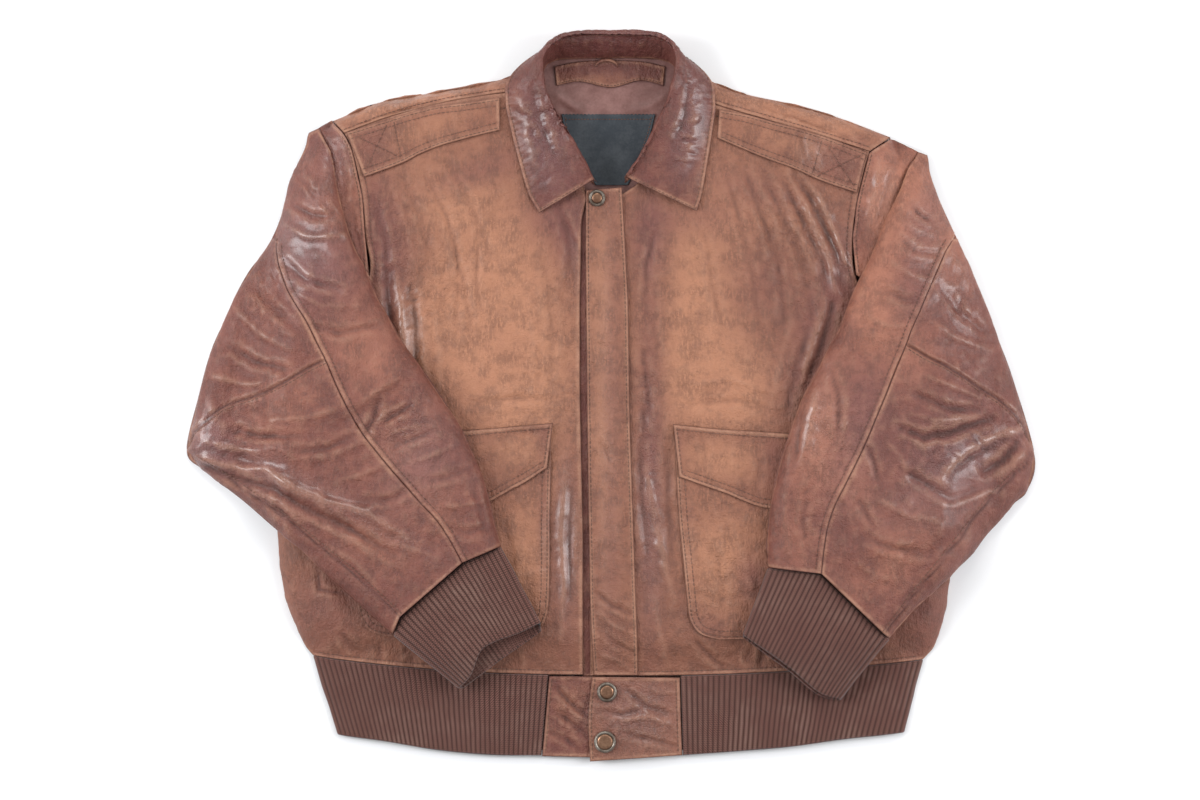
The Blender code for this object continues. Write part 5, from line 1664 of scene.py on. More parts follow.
@dataclass
class Waistband:
    """Ribbed knitted waistband in front, its plain back, and the leather tabs at the closing."""

    ribs: int = 44
    columns_per_rib: int = 6
    rib_height: float = 0.95
    wall: float = 2.2
    depth: float = 79.0
    tuck: float = 0.34
    left_reach: float = 0.871
    right_reach: float = 0.729
    left_edge: Line = ((0, 336, 737), (0.2, 377, 742), (0.5, 438, 752), (0.8, 500, 757), (1, 541, 757))
    right_edge: Line = ((0, 906, 735), (0.25, 846, 741), (0.5, 792, 748.5), (0.75, 738, 753), (1, 683.5, 757))
    tab_left_start: Line = numbered(548.8,677.2, 541.8,758)
    tab_left_end: Line = numbered(632,678, 632,760)
    tab_right_start: Line = numbered(592,677.6, 588,720, 590,763)
    tab_right_end: Line = numbered(680.3,678.6, 681.5,720, 682.8,757)
    tab_wear_and_shading: WearAndShading = WearAndShading(
        creases=pressed(
            (556,690, 570,705, 584,716, 3.2, -1.5), (552,712, 568,722, 586,738, 3.2, -1.3),
            (560,700, 574,714, 588,724, 3, 1.2), (550,735, 566,742, 580,752, 3, -1),
            (625,690, 645,708, 672,716, 3.4, -1.6), (622,722, 648,718, 676,728, 3.4, 1.4),
            (620,735, 646,740, 676,748, 3, -1.3), (600,712, 622,716, 640,712, 3, -1.1),
            (640,686, 660,694, 678,692, 2.8, 1),
        ),
        patches=in_patches(
            tan=((570,700, 20,30, 0, 0.3), (655,725, 20,25, 0, 0.3)),
            plum=((640,715, 50,40, 0, 0.6),),
            shine=((640,715, 45,40, 0, 0.9),),
            crinkle=((570,716, 22,42, 0, 0.7), (640,716, 45,42, 0, 0.6)),
        ),
    )

    def build(self, bench: Bench) -> Cloth:
        """Builds both ribbed fronts, the back and the tabs.

        Args:
            bench: The form and the finishes.

        Returns:
            The right tab, which carries the snaps.
        """
        left = (FRONT_LEFT_RAIL, FRONT_LEFT_ZIP, FRONT_LEFT_BOW)
        right = (FRONT_RIGHT_RAIL, FRONT_RIGHT_ZIP, FRONT_RIGHT_BOW)
        self.band(bench, "waistband_left", left, self.left_reach, self.left_edge)
        self.band(bench, "waistband_right", right, self.right_reach, self.right_edge)
        self.back(bench)
        xy, lines = self.tab_net(self.tab_left_start, self.tab_left_end, (0, 1), 84.0)
        lines = [lines[0]]
        tab = bench.cut("tab_left", "leather_body", Net(raised(xy, bench.form.height(xy))), 1.5, self.tab_wear_and_shading, lines,
                        rests_on=("waistband_back",))
        stitching = Stitching("tab_stitches", "leather_front")
        stitching.add(tab, lines)
        xy, lines = self.tab_net(self.tab_right_start, self.tab_right_end, (0, 2), 92.0)
        over = 1 - smooth((xy[..., 0] - 640) / 38)
        net = Net(raised(xy, bench.form.height(xy) + 2.6 * over))
        tab = bench.cut("tab_right", "leather_front", net, 1.8, self.tab_wear_and_shading, lines, rests_on=("tab_left",))
        stitching.add(tab, lines)
        stitching.build(bench.thread)
        return tab

    def tab_net(self, start: Line, end: Line, rows: tuple[float, float], wide: float) -> tuple[Array, list[Array]]:
        """Net of a tab, and the lines of stitching beside its ends.

        Args:
            start: Rail of the left end.
            end: Rail of the right end.
            rows: First and last row.
            wide: Width in millimetres.

        Returns:
            The places of the net, and the lines.
        """
        t, across = spaced(80.0, 1.9, True, True) * rows[1], spaced(wide, 1.9, True, True)
        xy = between(along(start, t), along(end, t), across)
        run = np.linspace(rows[0] + 0.03, rows[1] - 0.03, 50)
        a, b = along(start, run), along(end, run)
        step = (b - a) / np.linalg.norm(b - a, axis=1, keepdims=True)
        return xy, [a + step * 3.2, b - step * 4.0]

    def band(self, bench: Bench, name: str, rails: tuple[Line, Line, Line], reach: float, edge: Line) -> None:
        """Builds one ribbed front of the waistband.

        Args:
            bench: The form and the finishes.
            name: Its name.
            rails: Side, centre and bow of the panel above it.
            reach: How far across the panel the ribs run.
            edge: Its free edge.
        """
        share = np.linspace(0, 1, self.ribs * self.columns_per_rib + 1)
        rows = spaced(self.depth, 2.2, True, True)
        side, centre, bow = rails
        top = bowed(between(along(side, [0]), along(centre, [0]), share * reach), bow, np.zeros(1), share * reach)[0]
        top = top + [0, self.tuck]
        down = rows[:, None, None]
        xy = top * (1 - down) + along(edge, share) * down
        wave = Mottle(11.0, 83).at(xy)
        xy[..., 0] += 0.5 * wave * np.sin(np.pi * rows)[:, None] * np.sin(np.pi * share)[None]
        plain = raised(xy, bench.form.height(xy))
        plain[:, 0, 2] = 0.0
        rib = np.abs(np.sin(np.pi * self.ribs * share))
        depth = self.rib_height * (1 + 0.25 * Mottle(16.0, 85).at(xy))
        lift = (rib[None] ** 0.7) * depth + 0.5 * Mottle(30.0, 87).at(xy)
        patina_and_shading = knit_tone(rib, xy)
        Cloth(name, (name,), "knit", Net(plain), self.wall, rests_on=("waistband_back",), rim=Rim.ROWS,
              turned=1.6, lift=lift, patina_and_shading=patina_and_shading).build(bench.knit)

    def back(self, bench: Bench) -> None:
        """Builds the back of the waistband, flat on the table.

        Args:
            bench: The form and the finishes.
        """
        left = ((0, 315.8, 657), (1, 331.8, 708), (2, 341.8, 736))
        right = ((0, 920.2, 662), (1, 907.2, 708), (2, 900.2, 735))
        rows, share = np.linspace(0, 2, 30), np.linspace(0, 1, 160)
        xy = bowed(between(along(left, rows), along(right, rows), share), ((0, 18), (2, 18)), rows, share)
        lift = 0.2 * np.sin(share * 2 * np.pi * 95)[None] + 0 * xy[..., 0]
        Cloth("waistband_back", ("waistband_back",), "knit", Net(raised(xy, 2.0)), 1.9, rim=Rim.ROWS,
              lift=lift).build(bench.knit)


def knit_tone(rib: Array, xy: Array) -> Array:
    """Painted shade in the grooves and faded crowns of ribs, as tone shares."""
    tone = np.zeros(xy.shape[:2] + (4,))
    # Painted shade: the grooves between ribs.
    tone[..., 0] = (1 - rib)[None] ** 2 * 0.85
    tone[..., 2] = rib[None] ** 3 * np.clip(0.6 + 0.6 * Mottle(26.0, 91).at(xy), 0, 1)
    return tone


@dataclass
class Collar:
    """Shirt collar: fall, roll and stand, from its left point round the back to the right."""

    wall: float = 2.0
    seam_inset: float = 4.0
    stations: Line = (
        ((539, 213, 24.8), (593, 181, 33.0), (595, 184, 24.0)),
        ((528, 194, 24.8), (583, 161, 36.0), (579.5, 164, 19.0)),
        ((518, 160, 24.8), (570, 138, 38.0), (566.5, 140, 19.0)),
        ((510, 128, 24.8), (555, 113, 40.0), (552.5, 115, 19.0)),
        ((505, 102, 24.8), (545, 88, 41.5), (546.5, 91, 18.0)),
        ((508, 78, 21.0), (542, 62, 43.0), (543.5, 71, 12.0)), ((532, 54, 9.0), (552, 45.5, 43.0), (553, 61, 6.0)),
        ((564, 41.5, 6.0), (571, 37, 42.0), (575, 58, 5.0)), ((611, 40.5, 5.5), (611, 36, 41.0), (611, 57.5, 5.0)),
        ((656, 41.5, 6.0), (652, 37, 42.0), (646, 58, 5.0)), ((688, 56, 9.0), (670, 45.5, 43.0), (668, 61, 6.0)),
        ((711, 79, 21.0), (677, 62, 43.0), (675.5, 71, 12.0)),
        ((716, 104, 24.8), (672, 88, 41.5), (670.5, 92, 18.0)),
        ((713, 130, 24.8), (662, 114, 40.0), (661, 119, 19.0)),
        ((708, 162, 24.8), (650, 139, 38.0), (649, 145, 19.0)),
        ((702, 195, 24.8), (639, 160, 36.0), (638.5, 168, 19.0)),
        ((697, 211, 24.8), (626, 178, 33.0), (624, 182, 24.0)),
    )
    wear_and_shading: WearAndShading = WearAndShading(
        creases=pressed(
            (520,95, 526,130, 536,165, 6, 1.6), (532,90, 540,125, 556,160, 4, -1),
            (512,110, 530,118, 548,112, 3, -0.8), (700,95, 694,130, 684,165, 5, 1.4),
            (688,88, 684,118, 672,148, 3, -1.1), (680,120, 690,122, 700,118, 2.4, 0.7),
            (676,138, 688,142, 700,140, 2.4, -0.7), (672,155, 684,160, 696,158, 2.4, 0.6),
            (560,40, 600,38, 650,41, 2.6, -0.7),
        ),
        patches=in_patches(
            tan=((515,150, 10,60, 0, 0.4), (706,170, 10,40, 0, 0.4)),
            plum=((542,140, 26,60, -15, 0.9), (690,120, 22,60, 10, 0.7), (610,45, 90,16, 0, 0.8)),
            shine=((545,140, 30,50, -15, 0.8), (688,128, 18,50, 8, 1), (610,46, 80,12, 0, 0.9)),
            crinkle=((545,130, 26,60, -15, 0.55), (686,130, 22,60, 8, 0.5), (610,45, 80,12, 0, 0.5)),
        ),
    )

    def section(self) -> Array:
        """Fine net of the collar: section from the fall's edge to the base, at stations round the neck."""
        knots = np.arange(len(self.stations), dtype=float)
        fine = np.linspace(0, len(self.stations) - 1, 330)
        ends = np.array([0.0, 0.006, 0.016, 0.032, 0.05])
        fine = np.concatenate([ends, fine[2:-2], fine[-1] - ends[::-1]])
        outer, roll, base = (
            along(tuple((k, *row[part]) for k, row in zip(knots, self.stations)), fine) for part in range(3)
        )
        out = outer - base
        out[:, 2] = 0
        out /= np.linalg.norm(out, axis=1, keepdims=True)
        up = np.array([0, 0, 1.0])
        fall = outer + (roll - outer) * 0.5 + up * 2.0
        shoulder = roll + out * 5.0 - up * 1.5
        brow = roll - out * 2.0 - up * 3.5
        low = roll * 0.35 + base * 0.65
        low[:, 2] = roll[:, 2] * 0.4 + base[:, 2] * 0.6
        knots = np.stack([outer, fall, shoulder, roll + up * 0.5, brow, low, base])
        steps = np.concatenate([[0, 0.012, 0.03, 0.06, 0.1], np.linspace(0.16, 6, 54)])
        made = np.empty((len(steps), knots.shape[1], 3))
        for k in range(knots.shape[1]):
            made[:, k] = along(tuple((i, *p) for i, p in enumerate(knots[:, k])), steps)
        return made

    def build(self, bench: Bench) -> None:
        """Builds the collar with a line of stitching beside the fall's edge.

        Args:
            bench: The form and the finishes.
        """
        points = self.section()
        outer = points[0, :, :2]
        inward = points[4, :, :2] - outer
        inward /= np.linalg.norm(inward, axis=1, keepdims=True)
        line = (outer + inward * self.seam_inset)[4:-4]
        ends = [points[2:22, k, :2] for k in (5, -6)]
        made = bench.cut("collar", "leather_body", Net(points), self.wall, self.wear_and_shading, [line, *ends],
                         rests_on=("front_left", "front_right"))
        bench.sew("collar_stitches", "leather_body", made, [line, *ends])


@dataclass
class Neck:
    """Inside of the neck: satin lining, leather facing, hanger loop and a bare woven label."""

    lining_left: Line = ((-1, 541, 54), (1, 538, 100), (2, 548, 140), (3, 552, 180), (4, 560, 215), (5, 565, 250))
    lining_right: Line = ((-1, 679, 54), (1, 682, 100), (2, 672, 140), (3, 668, 180), (4, 660, 215), (5, 655, 250))
    facing_top: Line = ((0, 554, 64.5), (0.25, 580, 59.5), (0.5, 611, 58.4), (0.75, 642, 59.5), (1, 666, 64.5))
    facing_edge: Line = ((0, 556, 84), (0.25, 580, 80), (0.5, 611, 86), (0.75, 640, 79), (1, 664, 84))
    label_left: Line = numbered(561,112, 566,135, 578,160, 596,184)
    label_right: Line = numbered(656,112, 650,135, 640,160, 628,184)
    lining_height: float = 3.0
    facing_height: float = 5.2
    label_height: float = 5.0
    satin_wear_and_shading: WearAndShading = WearAndShading(
        creases=pressed(
            (556,92, 575,108, 598,118, 4, 1), (560,104, 580,112, 602,110, 3, -0.7),
            (552,120, 566,140, 572,165, 4, 0.8), (665,95, 650,105, 630,108, 3.5, 0.8),
            (668,120, 658,145, 646,168, 4, 0.8),
        ),
        coarse=0.5,
    )
    facing_wear_and_shading: WearAndShading = WearAndShading(
        creases=pressed((580,62, 584,72, 580,82, 3, -0.5), (640,62, 636,70, 640,80, 3, 0.5)),
        patches=in_patches(
            tan=((600,78, 40,6, 0, 0.35),),
            shine=((611,70, 50,10, 0, 0.4),),
        ),
        coarse=0.5,
    )

    def build(self, bench: Bench) -> None:
        """Builds the layers from the lining up.

        Args:
            bench: The form and the finishes.
        """
        rows, across = evenly_across(self.lining_left, self.lining_right, (-1, 5), 2.2, Rim.NONE)
        xy = between(along(self.lining_left, rows), along(self.lining_right, rows), across)
        Cloth("neck_lining", ("neck_lining",), "satin", Net(raised(xy, self.lining_height)), 0.9,
              rests_on=("back_panel",), rim=Rim.NONE,
              lift=np.maximum(self.satin_wear_and_shading.relief(xy), -0.6)).build(bench.satin)
        share, down = spaced(110.0, 1.8, True, True), spaced(25.0, 1.6, True, True)
        xy = between(along(self.facing_top, share), along(self.facing_edge, share), down).transpose(1, 0, 2)
        edge = along(self.facing_edge, np.linspace(0.02, 0.98, 60)) - [0, 2.0]
        facing = bench.cut("neck_facing", "leather_body", Net(raised(xy, self.facing_height)), 1.1,
                           self.facing_wear_and_shading, [edge], rests_on=("neck_lining",))
        self.label(bench)
        self.loop(bench)
        bench.sew("facing_stitches", "leather_body", facing, [edge], 2.4)

    def label(self, bench: Bench) -> None:
        """Builds the label, bare, with a stitched border and pinked upper edge.

        Args:
            bench: The form and the finishes.
        """
        rows, across = evenly_across(self.label_left, self.label_right, (0, 3), 1.4, Rim.ALL)
        xy = between(along(self.label_left, rows), along(self.label_right, rows), across)
        tooth = np.abs(((across * 26) % 1) - 0.5) * 2.6
        xy[..., 1] += tooth[None] * (1 - smooth(rows / 0.12))[:, None]
        run = np.linspace(0.12, 2.9, 60)
        a, b = along(self.label_left, run), along(self.label_right, run)
        wide = np.linalg.norm(b - a, axis=1, keepdims=True)
        lines = [a + (b - a) * 3.0 / wide, b - (b - a) * 3.0 / wide, np.linspace(a[0] + [3, 3], b[0] + [-3, 3], 60)]
        lift = 0.3 * Mottle(18.0, 97).at(xy) + stitched(xy, lines, 0.3)
        made = Cloth("neck_label", ("neck_label",), "label", Net(raised(xy, self.label_height)), 0.7,
                     rests_on=("neck_lining",), turned=0.6, lift=lift)
        made.build(bench.label)
        bench.sew("label_stitches", "label", made, lines, 2.2)

    def loop(self, bench: Bench) -> None:
        """Builds the hanger loop, a folded strip sewn down at both ends.

        Args:
            bench: The form and the finishes.
        """
        share = np.linspace(0, 1, 30)
        across = np.linspace(0, 1, 7)
        x = 595.5 + 22 * share[:, None] + 0 * across[None]
        y = 61.5 - 5.2 * np.sin(np.pi * share)[:, None] ** 0.6 + 4.2 * across[None]
        z = 6.9 + 2.0 * np.sin(np.pi * share)[:, None] + 0.7 * np.sin(np.pi * across)[None]
        Cloth("hanger_loop", (), "leather_body", Net(np.stack([x, y, z], -1)), 1.0, held="laid",
              rests_on=("neck_facing",), rim=Rim.COLUMNS, turned=0.8).build(bench.body)


# ---------------------------------------------------------------- sleeves and cuffs


@dataclass
class Sleeve:
    """One sleeve, folded in over the front: front panel, elbow panel and under sleeve with its cap."""

    side: Side
    outer: Line
    lower: Line
    main: Line
    inner: Line
    armhole: Line
    elbow_seam: Line
    folds: tuple[Crease, ...]
    wear_and_shading: WearAndShading
    rise: float = 17.0
    roll: float = 24.0
    wall: float = 1.5
    gap: float = 1.8
    main_inset: float = 6.0
    cross_inset: float = 3.2
    lower_inset: float = 4.0
    cap_inset: float = 3.0
    seam_row: float = 5.0
    cap_row: float = 7.0
    first_row: float = -0.45
    lower_row: float = 12.3
    rows: float = 22.0

    def outline(self) -> list[tuple[float, float]]:
        """Outline of the folded sleeve, run on past the cuff."""
        beyond = [2.5 * np.array(rail[-1][1:]) - 1.5 * np.array(rail[-3][1:]) for rail in (self.outer, self.inner)]
        return [p[1:] for p in self.outer] + [tuple(b) for b in beyond] + [p[1:] for p in self.inner[::-1]]

    def top(self, form: Form, xy: Array, rows: Array) -> Array:
        """Height of the sleeve's upper face.

        Args:
            form: Heights of the layers.
            xy: Points on the table.
            rows: Row number of each row of points.

        Returns:
            The height at each point.
        """
        depth = np.maximum(inside(xy, self.outline()), 0.0)
        puff = self.rise * rolled(depth, self.roll) * (0.3 + 0.7 * smooth(rows / 3))[:, None]
        soft = sum(c.height * np.exp(-((to_line(xy, c.line)[0] / c.width) ** 2)) for c in self.folds)
        return form.drape(xy) + self.wall + self.gap + puff + soft * smooth(depth / 22)

    def main_rail(self) -> Line:
        """Left border of the front panel: the outer edge at the shoulder, then the main seam."""
        head = tuple(p for p in self.outer if p[0] < self.seam_row)
        return head + tuple(p for p in self.main if p[0] >= self.seam_row)

    def build(self, bench: Bench) -> None:
        """Builds the three panels and their stitching.

        Args:
            bench: The form and the finishes.
        """
        sign = 1 if self.side is Side.LEFT else -1
        main = curve(self.main, self.seam_row + 0.3, self.rows, 120)
        cross = np.array(self.elbow_seam, float)
        lower = curve(self.lower, self.lower_row, self.rows, 90)
        stitching = Stitching(f"sleeve_{self.side.value}_stitches", "leather_sleeve")
        lines = [beside(main, -self.main_inset * sign)]
        front = self.front_panel(bench, lines)
        stitching.add(front, lines)
        lines = [beside(cross, -self.cross_inset * sign), beside(lower, -self.lower_inset * sign)]
        elbow = self.elbow_panel(bench, lines, cross)
        stitching.add(elbow, lines)
        armhole = curve(self.armhole, 1.0, self.cap_row, 60)
        under = self.under_panel(bench)
        stitching.add(under, [beside(armhole, self.cap_inset * sign)])
        stitching.build(bench.thread)

    def front_panel(self, bench: Bench, lines: list[Array]) -> Cloth:
        """Panel between the main seam and the inner edge, up to the shoulder's tip.

        Args:
            bench: The form and the finishes.
            lines: Lines of stitching.

        Returns:
            The finished cloth.
        """
        rail = self.main_rail()
        rows, across = evenly_across(rail, self.inner, (self.first_row, self.rows), FINE, Rim.ALL)
        joined = np.interp(rows, [4.7, 5.2], [0.0, 1.0])[:, None]
        left = along(self.outer, rows) * (1 - joined) + along(self.main, rows) * joined
        xy = between(left, along(self.inner, rows), across)
        net = Net(raised(xy, self.top(bench.form, xy, rows)))
        name = f"sleeve_front_{self.side.value}"
        welt = to_line(xy, curve(self.main, self.seam_row + 0.3, self.rows, 120))[0]
        swell = 0.7 * np.exp(-(((welt - 3.0) / 2.2) ** 2))
        return bench.cut(name, "leather_sleeve", net, self.wall, self.wear_and_shading, lines, swell, held="folded",
                         rests_on=(f"front_{self.side.value}",))

    def elbow_panel(self, bench: Bench, lines: list[Array], cross: Array) -> Cloth:
        """Panel round the outer arm and the elbow.

        Args:
            bench: The form and the finishes.
            lines: Lines of stitching.
            cross: The seam across the elbow.

        Returns:
            The finished cloth.
        """
        rows, across = evenly_across(self.outer, self.main, (self.seam_row, self.rows), FINE, Rim.ALL)
        a, b, c = (along(rail, rows) for rail in (self.outer, self.lower, self.main))
        strip = np.linalg.norm(b - a, axis=1) / np.maximum(
            np.linalg.norm(b - a, axis=1) + np.linalg.norm(c - b, axis=1), 1e-6)
        s = across[None, :]
        knee = np.maximum(strip[:, None], 1e-3)
        low = np.clip(s / knee, 0, 1)[..., None]
        high = np.clip((s - knee) / (1 - knee), 0, 1)[..., None]
        xy = (a[:, None] * (1 - low) + b[:, None] * low) * (s <= knee)[..., None] + (
            b[:, None] * (1 - high) + c[:, None] * high) * (s > knee)[..., None]
        net = Net(raised(xy, self.top(bench.form, xy, rows)))
        name = f"sleeve_elbow_{self.side.value}"
        seam = to_line(xy, cross)[0]
        ditch = -2.0 * np.exp(-((seam / 1.5) ** 2)) + 0.8 * np.exp(-(((seam - 3.0) / 1.8) ** 2))
        lower = curve(self.lower, self.lower_row, self.rows, 90)
        ditch = ditch - 1.5 * np.exp(-((to_line(xy, lower)[0] / 1.4) ** 2))
        return bench.cut(name, "leather_sleeve", net, self.wall, self.wear_and_shading, lines, ditch, held="folded",
                         rests_on=(f"front_{self.side.value}",), seams=(cross, lower))

    def under_panel(self, bench: Bench) -> Cloth:
        """Under sleeve, and the cap at the armhole seam where it shows.

        Args:
            bench: The form and the finishes.

        Returns:
            The finished cloth.
        """
        cap_rows = np.linspace(self.first_row, self.cap_row, CAP_ROWS)
        rows = np.concatenate([cap_rows, np.linspace(self.cap_row, self.rows, 90)[1:]])
        share = np.linspace(0, 1, 28)
        cap_share = spaced(30.0, 2.2, False, True)[1:]
        wide = between(along(self.outer, rows), along(self.inner, rows), share)
        cap = between(along(self.inner, rows), along(self.armhole, np.minimum(rows, self.cap_row)), cap_share)
        xy = np.concatenate([wide, cap], 1)
        edge = len(share) - 1
        used = np.ones((xy.shape[0] - 1, xy.shape[1] - 1), bool)
        used[CAP_ROWS - 1:, edge:] = False
        step = np.concatenate([np.zeros(len(share)), cap_share])[None, :]
        held = 1 - smooth((rows - 4) / 3)[:, None]
        low = smooth(step) * held
        face = (bench.form.drape(xy) + self.wall) * (1 - low) + bench.form.height(xy) * low
        shown = smooth(step * 3.0)
        name = f"sleeve_under_{self.side.value}"
        lift = np.maximum(self.wear_and_shading.relief(xy), -1.2) * shown * smooth((self.cap_row - rows) / 1.5)[:, None]
        made = Cloth(name, (name,), "leather_sleeve", Net(raised(xy, face)), self.wall, held="folded",
                     rests_on=(f"front_{self.side.value}",), rim=Rim.LAST_COLUMN, lift=lift,
                     patina_and_shading=self.wear_and_shading.patina_and_shading(xy), used=used)
        made.build(bench.sleeve)
        return made


@dataclass
class Cuff:
    """A ribbed knitted cuff: a flattened tube, open at the hem."""

    name: str
    joint: Line
    hem: Line
    under_hem: Line
    ribs: int = 26
    under_ribs: int = 24
    per_rib: int = 6
    length: float = 80.0
    tuck: float = 0.008
    side: float = 6.0
    crown: float = 13.0
    rib_height: float = 1.0
    wall: float = 2.2

    def build(self, bench: Bench) -> None:
        """Builds the tube.

        Args:
            bench: The form and the finishes.
        """
        top_share = np.linspace(0, 1, self.ribs * self.per_rib + 1)
        low_share = np.linspace(0.985, 0.015, self.under_ribs * 3 + 1)
        rows = spaced(self.length, 2.2, True, True)
        rows = (self.tuck + rows * (1 - self.tuck))[:, None, None]
        gather = Mottle(13.0, 101)
        top = straight(self.joint, top_share) * (1 - rows) + along(self.hem, top_share) * rows
        low = straight(self.joint, low_share) * (1 - rows) + along(self.under_hem, low_share) * rows
        top[..., 0] += 0.6 * gather.at(top) * np.sin(np.pi * rows[..., 0]) * np.sin(np.pi * top_share)[None]
        height = self.side + (self.crown - self.side) * np.sqrt(1 - np.abs(2 * top_share - 1) ** 6)
        body_top = raised(top, bench.form.drape(top) + height)
        low_height = 1.5 * np.exp(-(((0.5 - np.abs(low_share - 0.5)) / 0.03) ** 2))
        body_low = raised(low, bench.form.drape(low) + low_height)
        points = np.concatenate([body_top, body_low], 1)
        rib = np.concatenate([
            np.abs(np.sin(np.pi * self.ribs * top_share)), np.abs(np.sin(np.pi * self.under_ribs * low_share))])
        xy = points[..., :2]
        depth = np.concatenate([np.full(len(top_share), self.rib_height), np.full(len(low_share), 0.35)])
        soft = np.concatenate([np.ones(len(top_share)), np.zeros(len(low_share))])
        lift = rib ** 0.7 * depth * (1 + 0.2 * Mottle(15.0, 103).at(xy)) + 0.7 * Mottle(26.0, 105).at(xy) * soft
        Cloth(self.name, (self.name,), "knit", Net(points, ring=True), self.wall, held="folded",
              rests_on=("waistband_left", "waistband_right"), rim=Rim.ROWS, turned=1.4,
              lift=lift, patina_and_shading=knit_tone(rib, xy)).build(bench.knit)


# ---------------------------------------------------------------- snaps


@dataclass
class Snap:
    """A snap cap: a rolled ring of aged metal round a low copper dome."""

    name: str
    x: float
    y: float
    radius: float
    sides: int = 48

    def build(self, bench: Bench) -> None:
        """Turns the ring and the dome.

        Args:
            bench: The form and the finishes.
        """
        turns = np.linspace(0, 2 * np.pi, 24)
        round_it = np.stack([self.x + self.radius * np.cos(turns), self.y + self.radius * np.sin(turns)], -1)
        base = float(bench.form.height(round_it).max()) + 2.95
        r = self.radius
        ring = ((r - 0.7, 0.0), (r, 0.25), (r, 0.9), (r - 0.25, 1.7), (r - 0.9, 2.3), (r - 1.7, 2.5),
                (r - 2.4, 2.3), (r - 2.8, 1.8), (r - 3.1, 1.3), (r - 3.4, 0.9))
        dome = ((r - 3.1, 0.3), (r - 3.15, 1.2), (r - 3.6, 1.75), (r - 4.4, 2.1), (r * 0.35, 2.35), (r * 0.3, 2.2),
                (r * 0.2, 2.3), (0.02, 2.35))
        self.turn(self.name, (self.name,), ring, base, bench.pewter)
        self.turn(f"{self.name}_dome", (), dome, base, bench.copper)

    def turn(self, name: str, nodes: tuple[str, ...], profile: Line, base: float, material: bpy.types.Material) -> None:
        """Turns one profile round the snap's axis.

        Args:
            name: Name of the piece.
            nodes: Solid that it stands for.
            profile: Radius and height of each step of the profile.
            base: Height of its foot over the table.
            material: The finish of the metal.
        """
        bm = bmesh.new()
        centre = to_world(np.array([self.x, self.y, base]))
        verts = [bm.verts.new(Vector(centre) + Vector((radius * MM, 0, height * MM))) for radius, height in profile]
        edges = [bm.edges.new(pair) for pair in zip(verts[:-1], verts[1:])]
        bmesh.ops.spin(bm, geom=verts + edges, cent=Vector(centre), axis=(0, 0, 1), dvec=(0, 0, 0),
                       angle=2 * math.pi, steps=self.sides, use_merge=True, use_duplicate=False)
        bmesh.ops.remove_doubles(bm, verts=bm.verts, dist=1e-5)
        bmesh.ops.holes_fill(bm, edges=bm.edges, sides=0)
        bmesh.ops.recalc_face_normals(bm, faces=bm.faces)
        mesh = bpy.data.meshes.new(name)
        bm.to_mesh(mesh)
        bm.free()
        mesh.shade_smooth()
        finish_piece(add_object(name, mesh, material), nodes)


# ---------------------------------------------------------------- studio


@dataclass
class Studio:
    """Pale table, soft lights on both sides and a camera straight above."""

    camera_place: tuple[float, float, float] = (-10.75 * MM, -3.0 * MM, 3.692)
    lens: float = 110.0
    sensor: float = 36.0
    table: float = 0.9
    table_drop: float = 0.0002
    sky: float = 0.48

    def build(self) -> None:
        """Sets the table, the lights and the camera."""
        self.floor()
        world = bpy.data.worlds.new("studio")
        bpy.context.scene.world = world
        world.use_nodes = True
        back = world.node_tree.nodes["Background"]
        back.inputs["Color"].default_value = (0.97, 0.98, 1.0, 1)
        back.inputs["Strength"].default_value = self.sky
        self.light("left", (-1.75, 0.25, 1.25), 0.75, 1.5, 37.0, (0.95, 0.97, 1.0))
        self.light("right", (1.75, 0.1, 1.25), 0.75, 1.5, 30.0, (0.96, 0.97, 1.0))
        self.light("head", (0.0, 1.9, 1.7), 1.5, 0.8, 18.0, (1.0, 0.99, 0.97))
        camera = bpy.data.objects.new("camera", bpy.data.cameras.new("camera"))
        bpy.context.scene.collection.objects.link(camera)
        camera.location = self.camera_place
        camera.data.lens = self.lens
        camera.data.sensor_width = self.sensor
        camera.data.clip_end = 20.0
        bpy.context.scene.camera = camera
        bpy.context.scene.view_settings.view_transform = "Standard"

    def floor(self) -> None:
        """Lays the pale table top."""
        bm = bmesh.new()
        bmesh.ops.create_grid(bm, x_segments=1, y_segments=1, size=6.0)
        mesh = bpy.data.meshes.new("table_top")
        bm.to_mesh(mesh)
        bm.free()
        paint = bpy.data.materials.new("table_paint")
        paint.use_nodes = True
        shader = paint.node_tree.nodes["Principled BSDF"]
        shader.inputs["Base Color"].default_value = (self.table, self.table, self.table, 1)
        shader.inputs["Roughness"].default_value = 1.0
        shader.inputs["Specular IOR Level"].default_value = 0.0
        top = add_object("table_top", mesh, paint)
        top.location.z = -self.table_drop

    def light(self, name: str, place: tuple[float, float, float], wide: float, tall: float, power: float,
              colour: tuple[float, float, float]) -> None:
        """Hangs one soft light that looks at the jacket.

        Args:
            name: Its name.
            place: Where it hangs, in metres.
            wide: Its width in metres.
            tall: Its height in metres.
            power: Its power in watts.
            colour: Its colour.
        """
        data = bpy.data.lights.new(name, "AREA")
        data.shape = "RECTANGLE"
        data.size, data.size_y = wide, tall
        data.energy = power
        data.color = colour
        lamp = bpy.data.objects.new(name, data)
        lamp.location = place
        lamp.rotation_euler = (-Vector(place)).to_track_quat("-Z", "Y").to_euler()
        bpy.context.scene.collection.objects.link(lamp)


# ---------------------------------------------------------------- the jacket


PLACKET_SEAMS = (2.8, -3.0)
EPAULET_SEAMS = (2.8, 8.0, -2.8, -8.0)
TAN = (0.45, 0.195, 0.105)
# Plum of the sleeves: purple-brown tone, partly painted shade and sheen.
PLUM = (0.19, 0.072, 0.066)


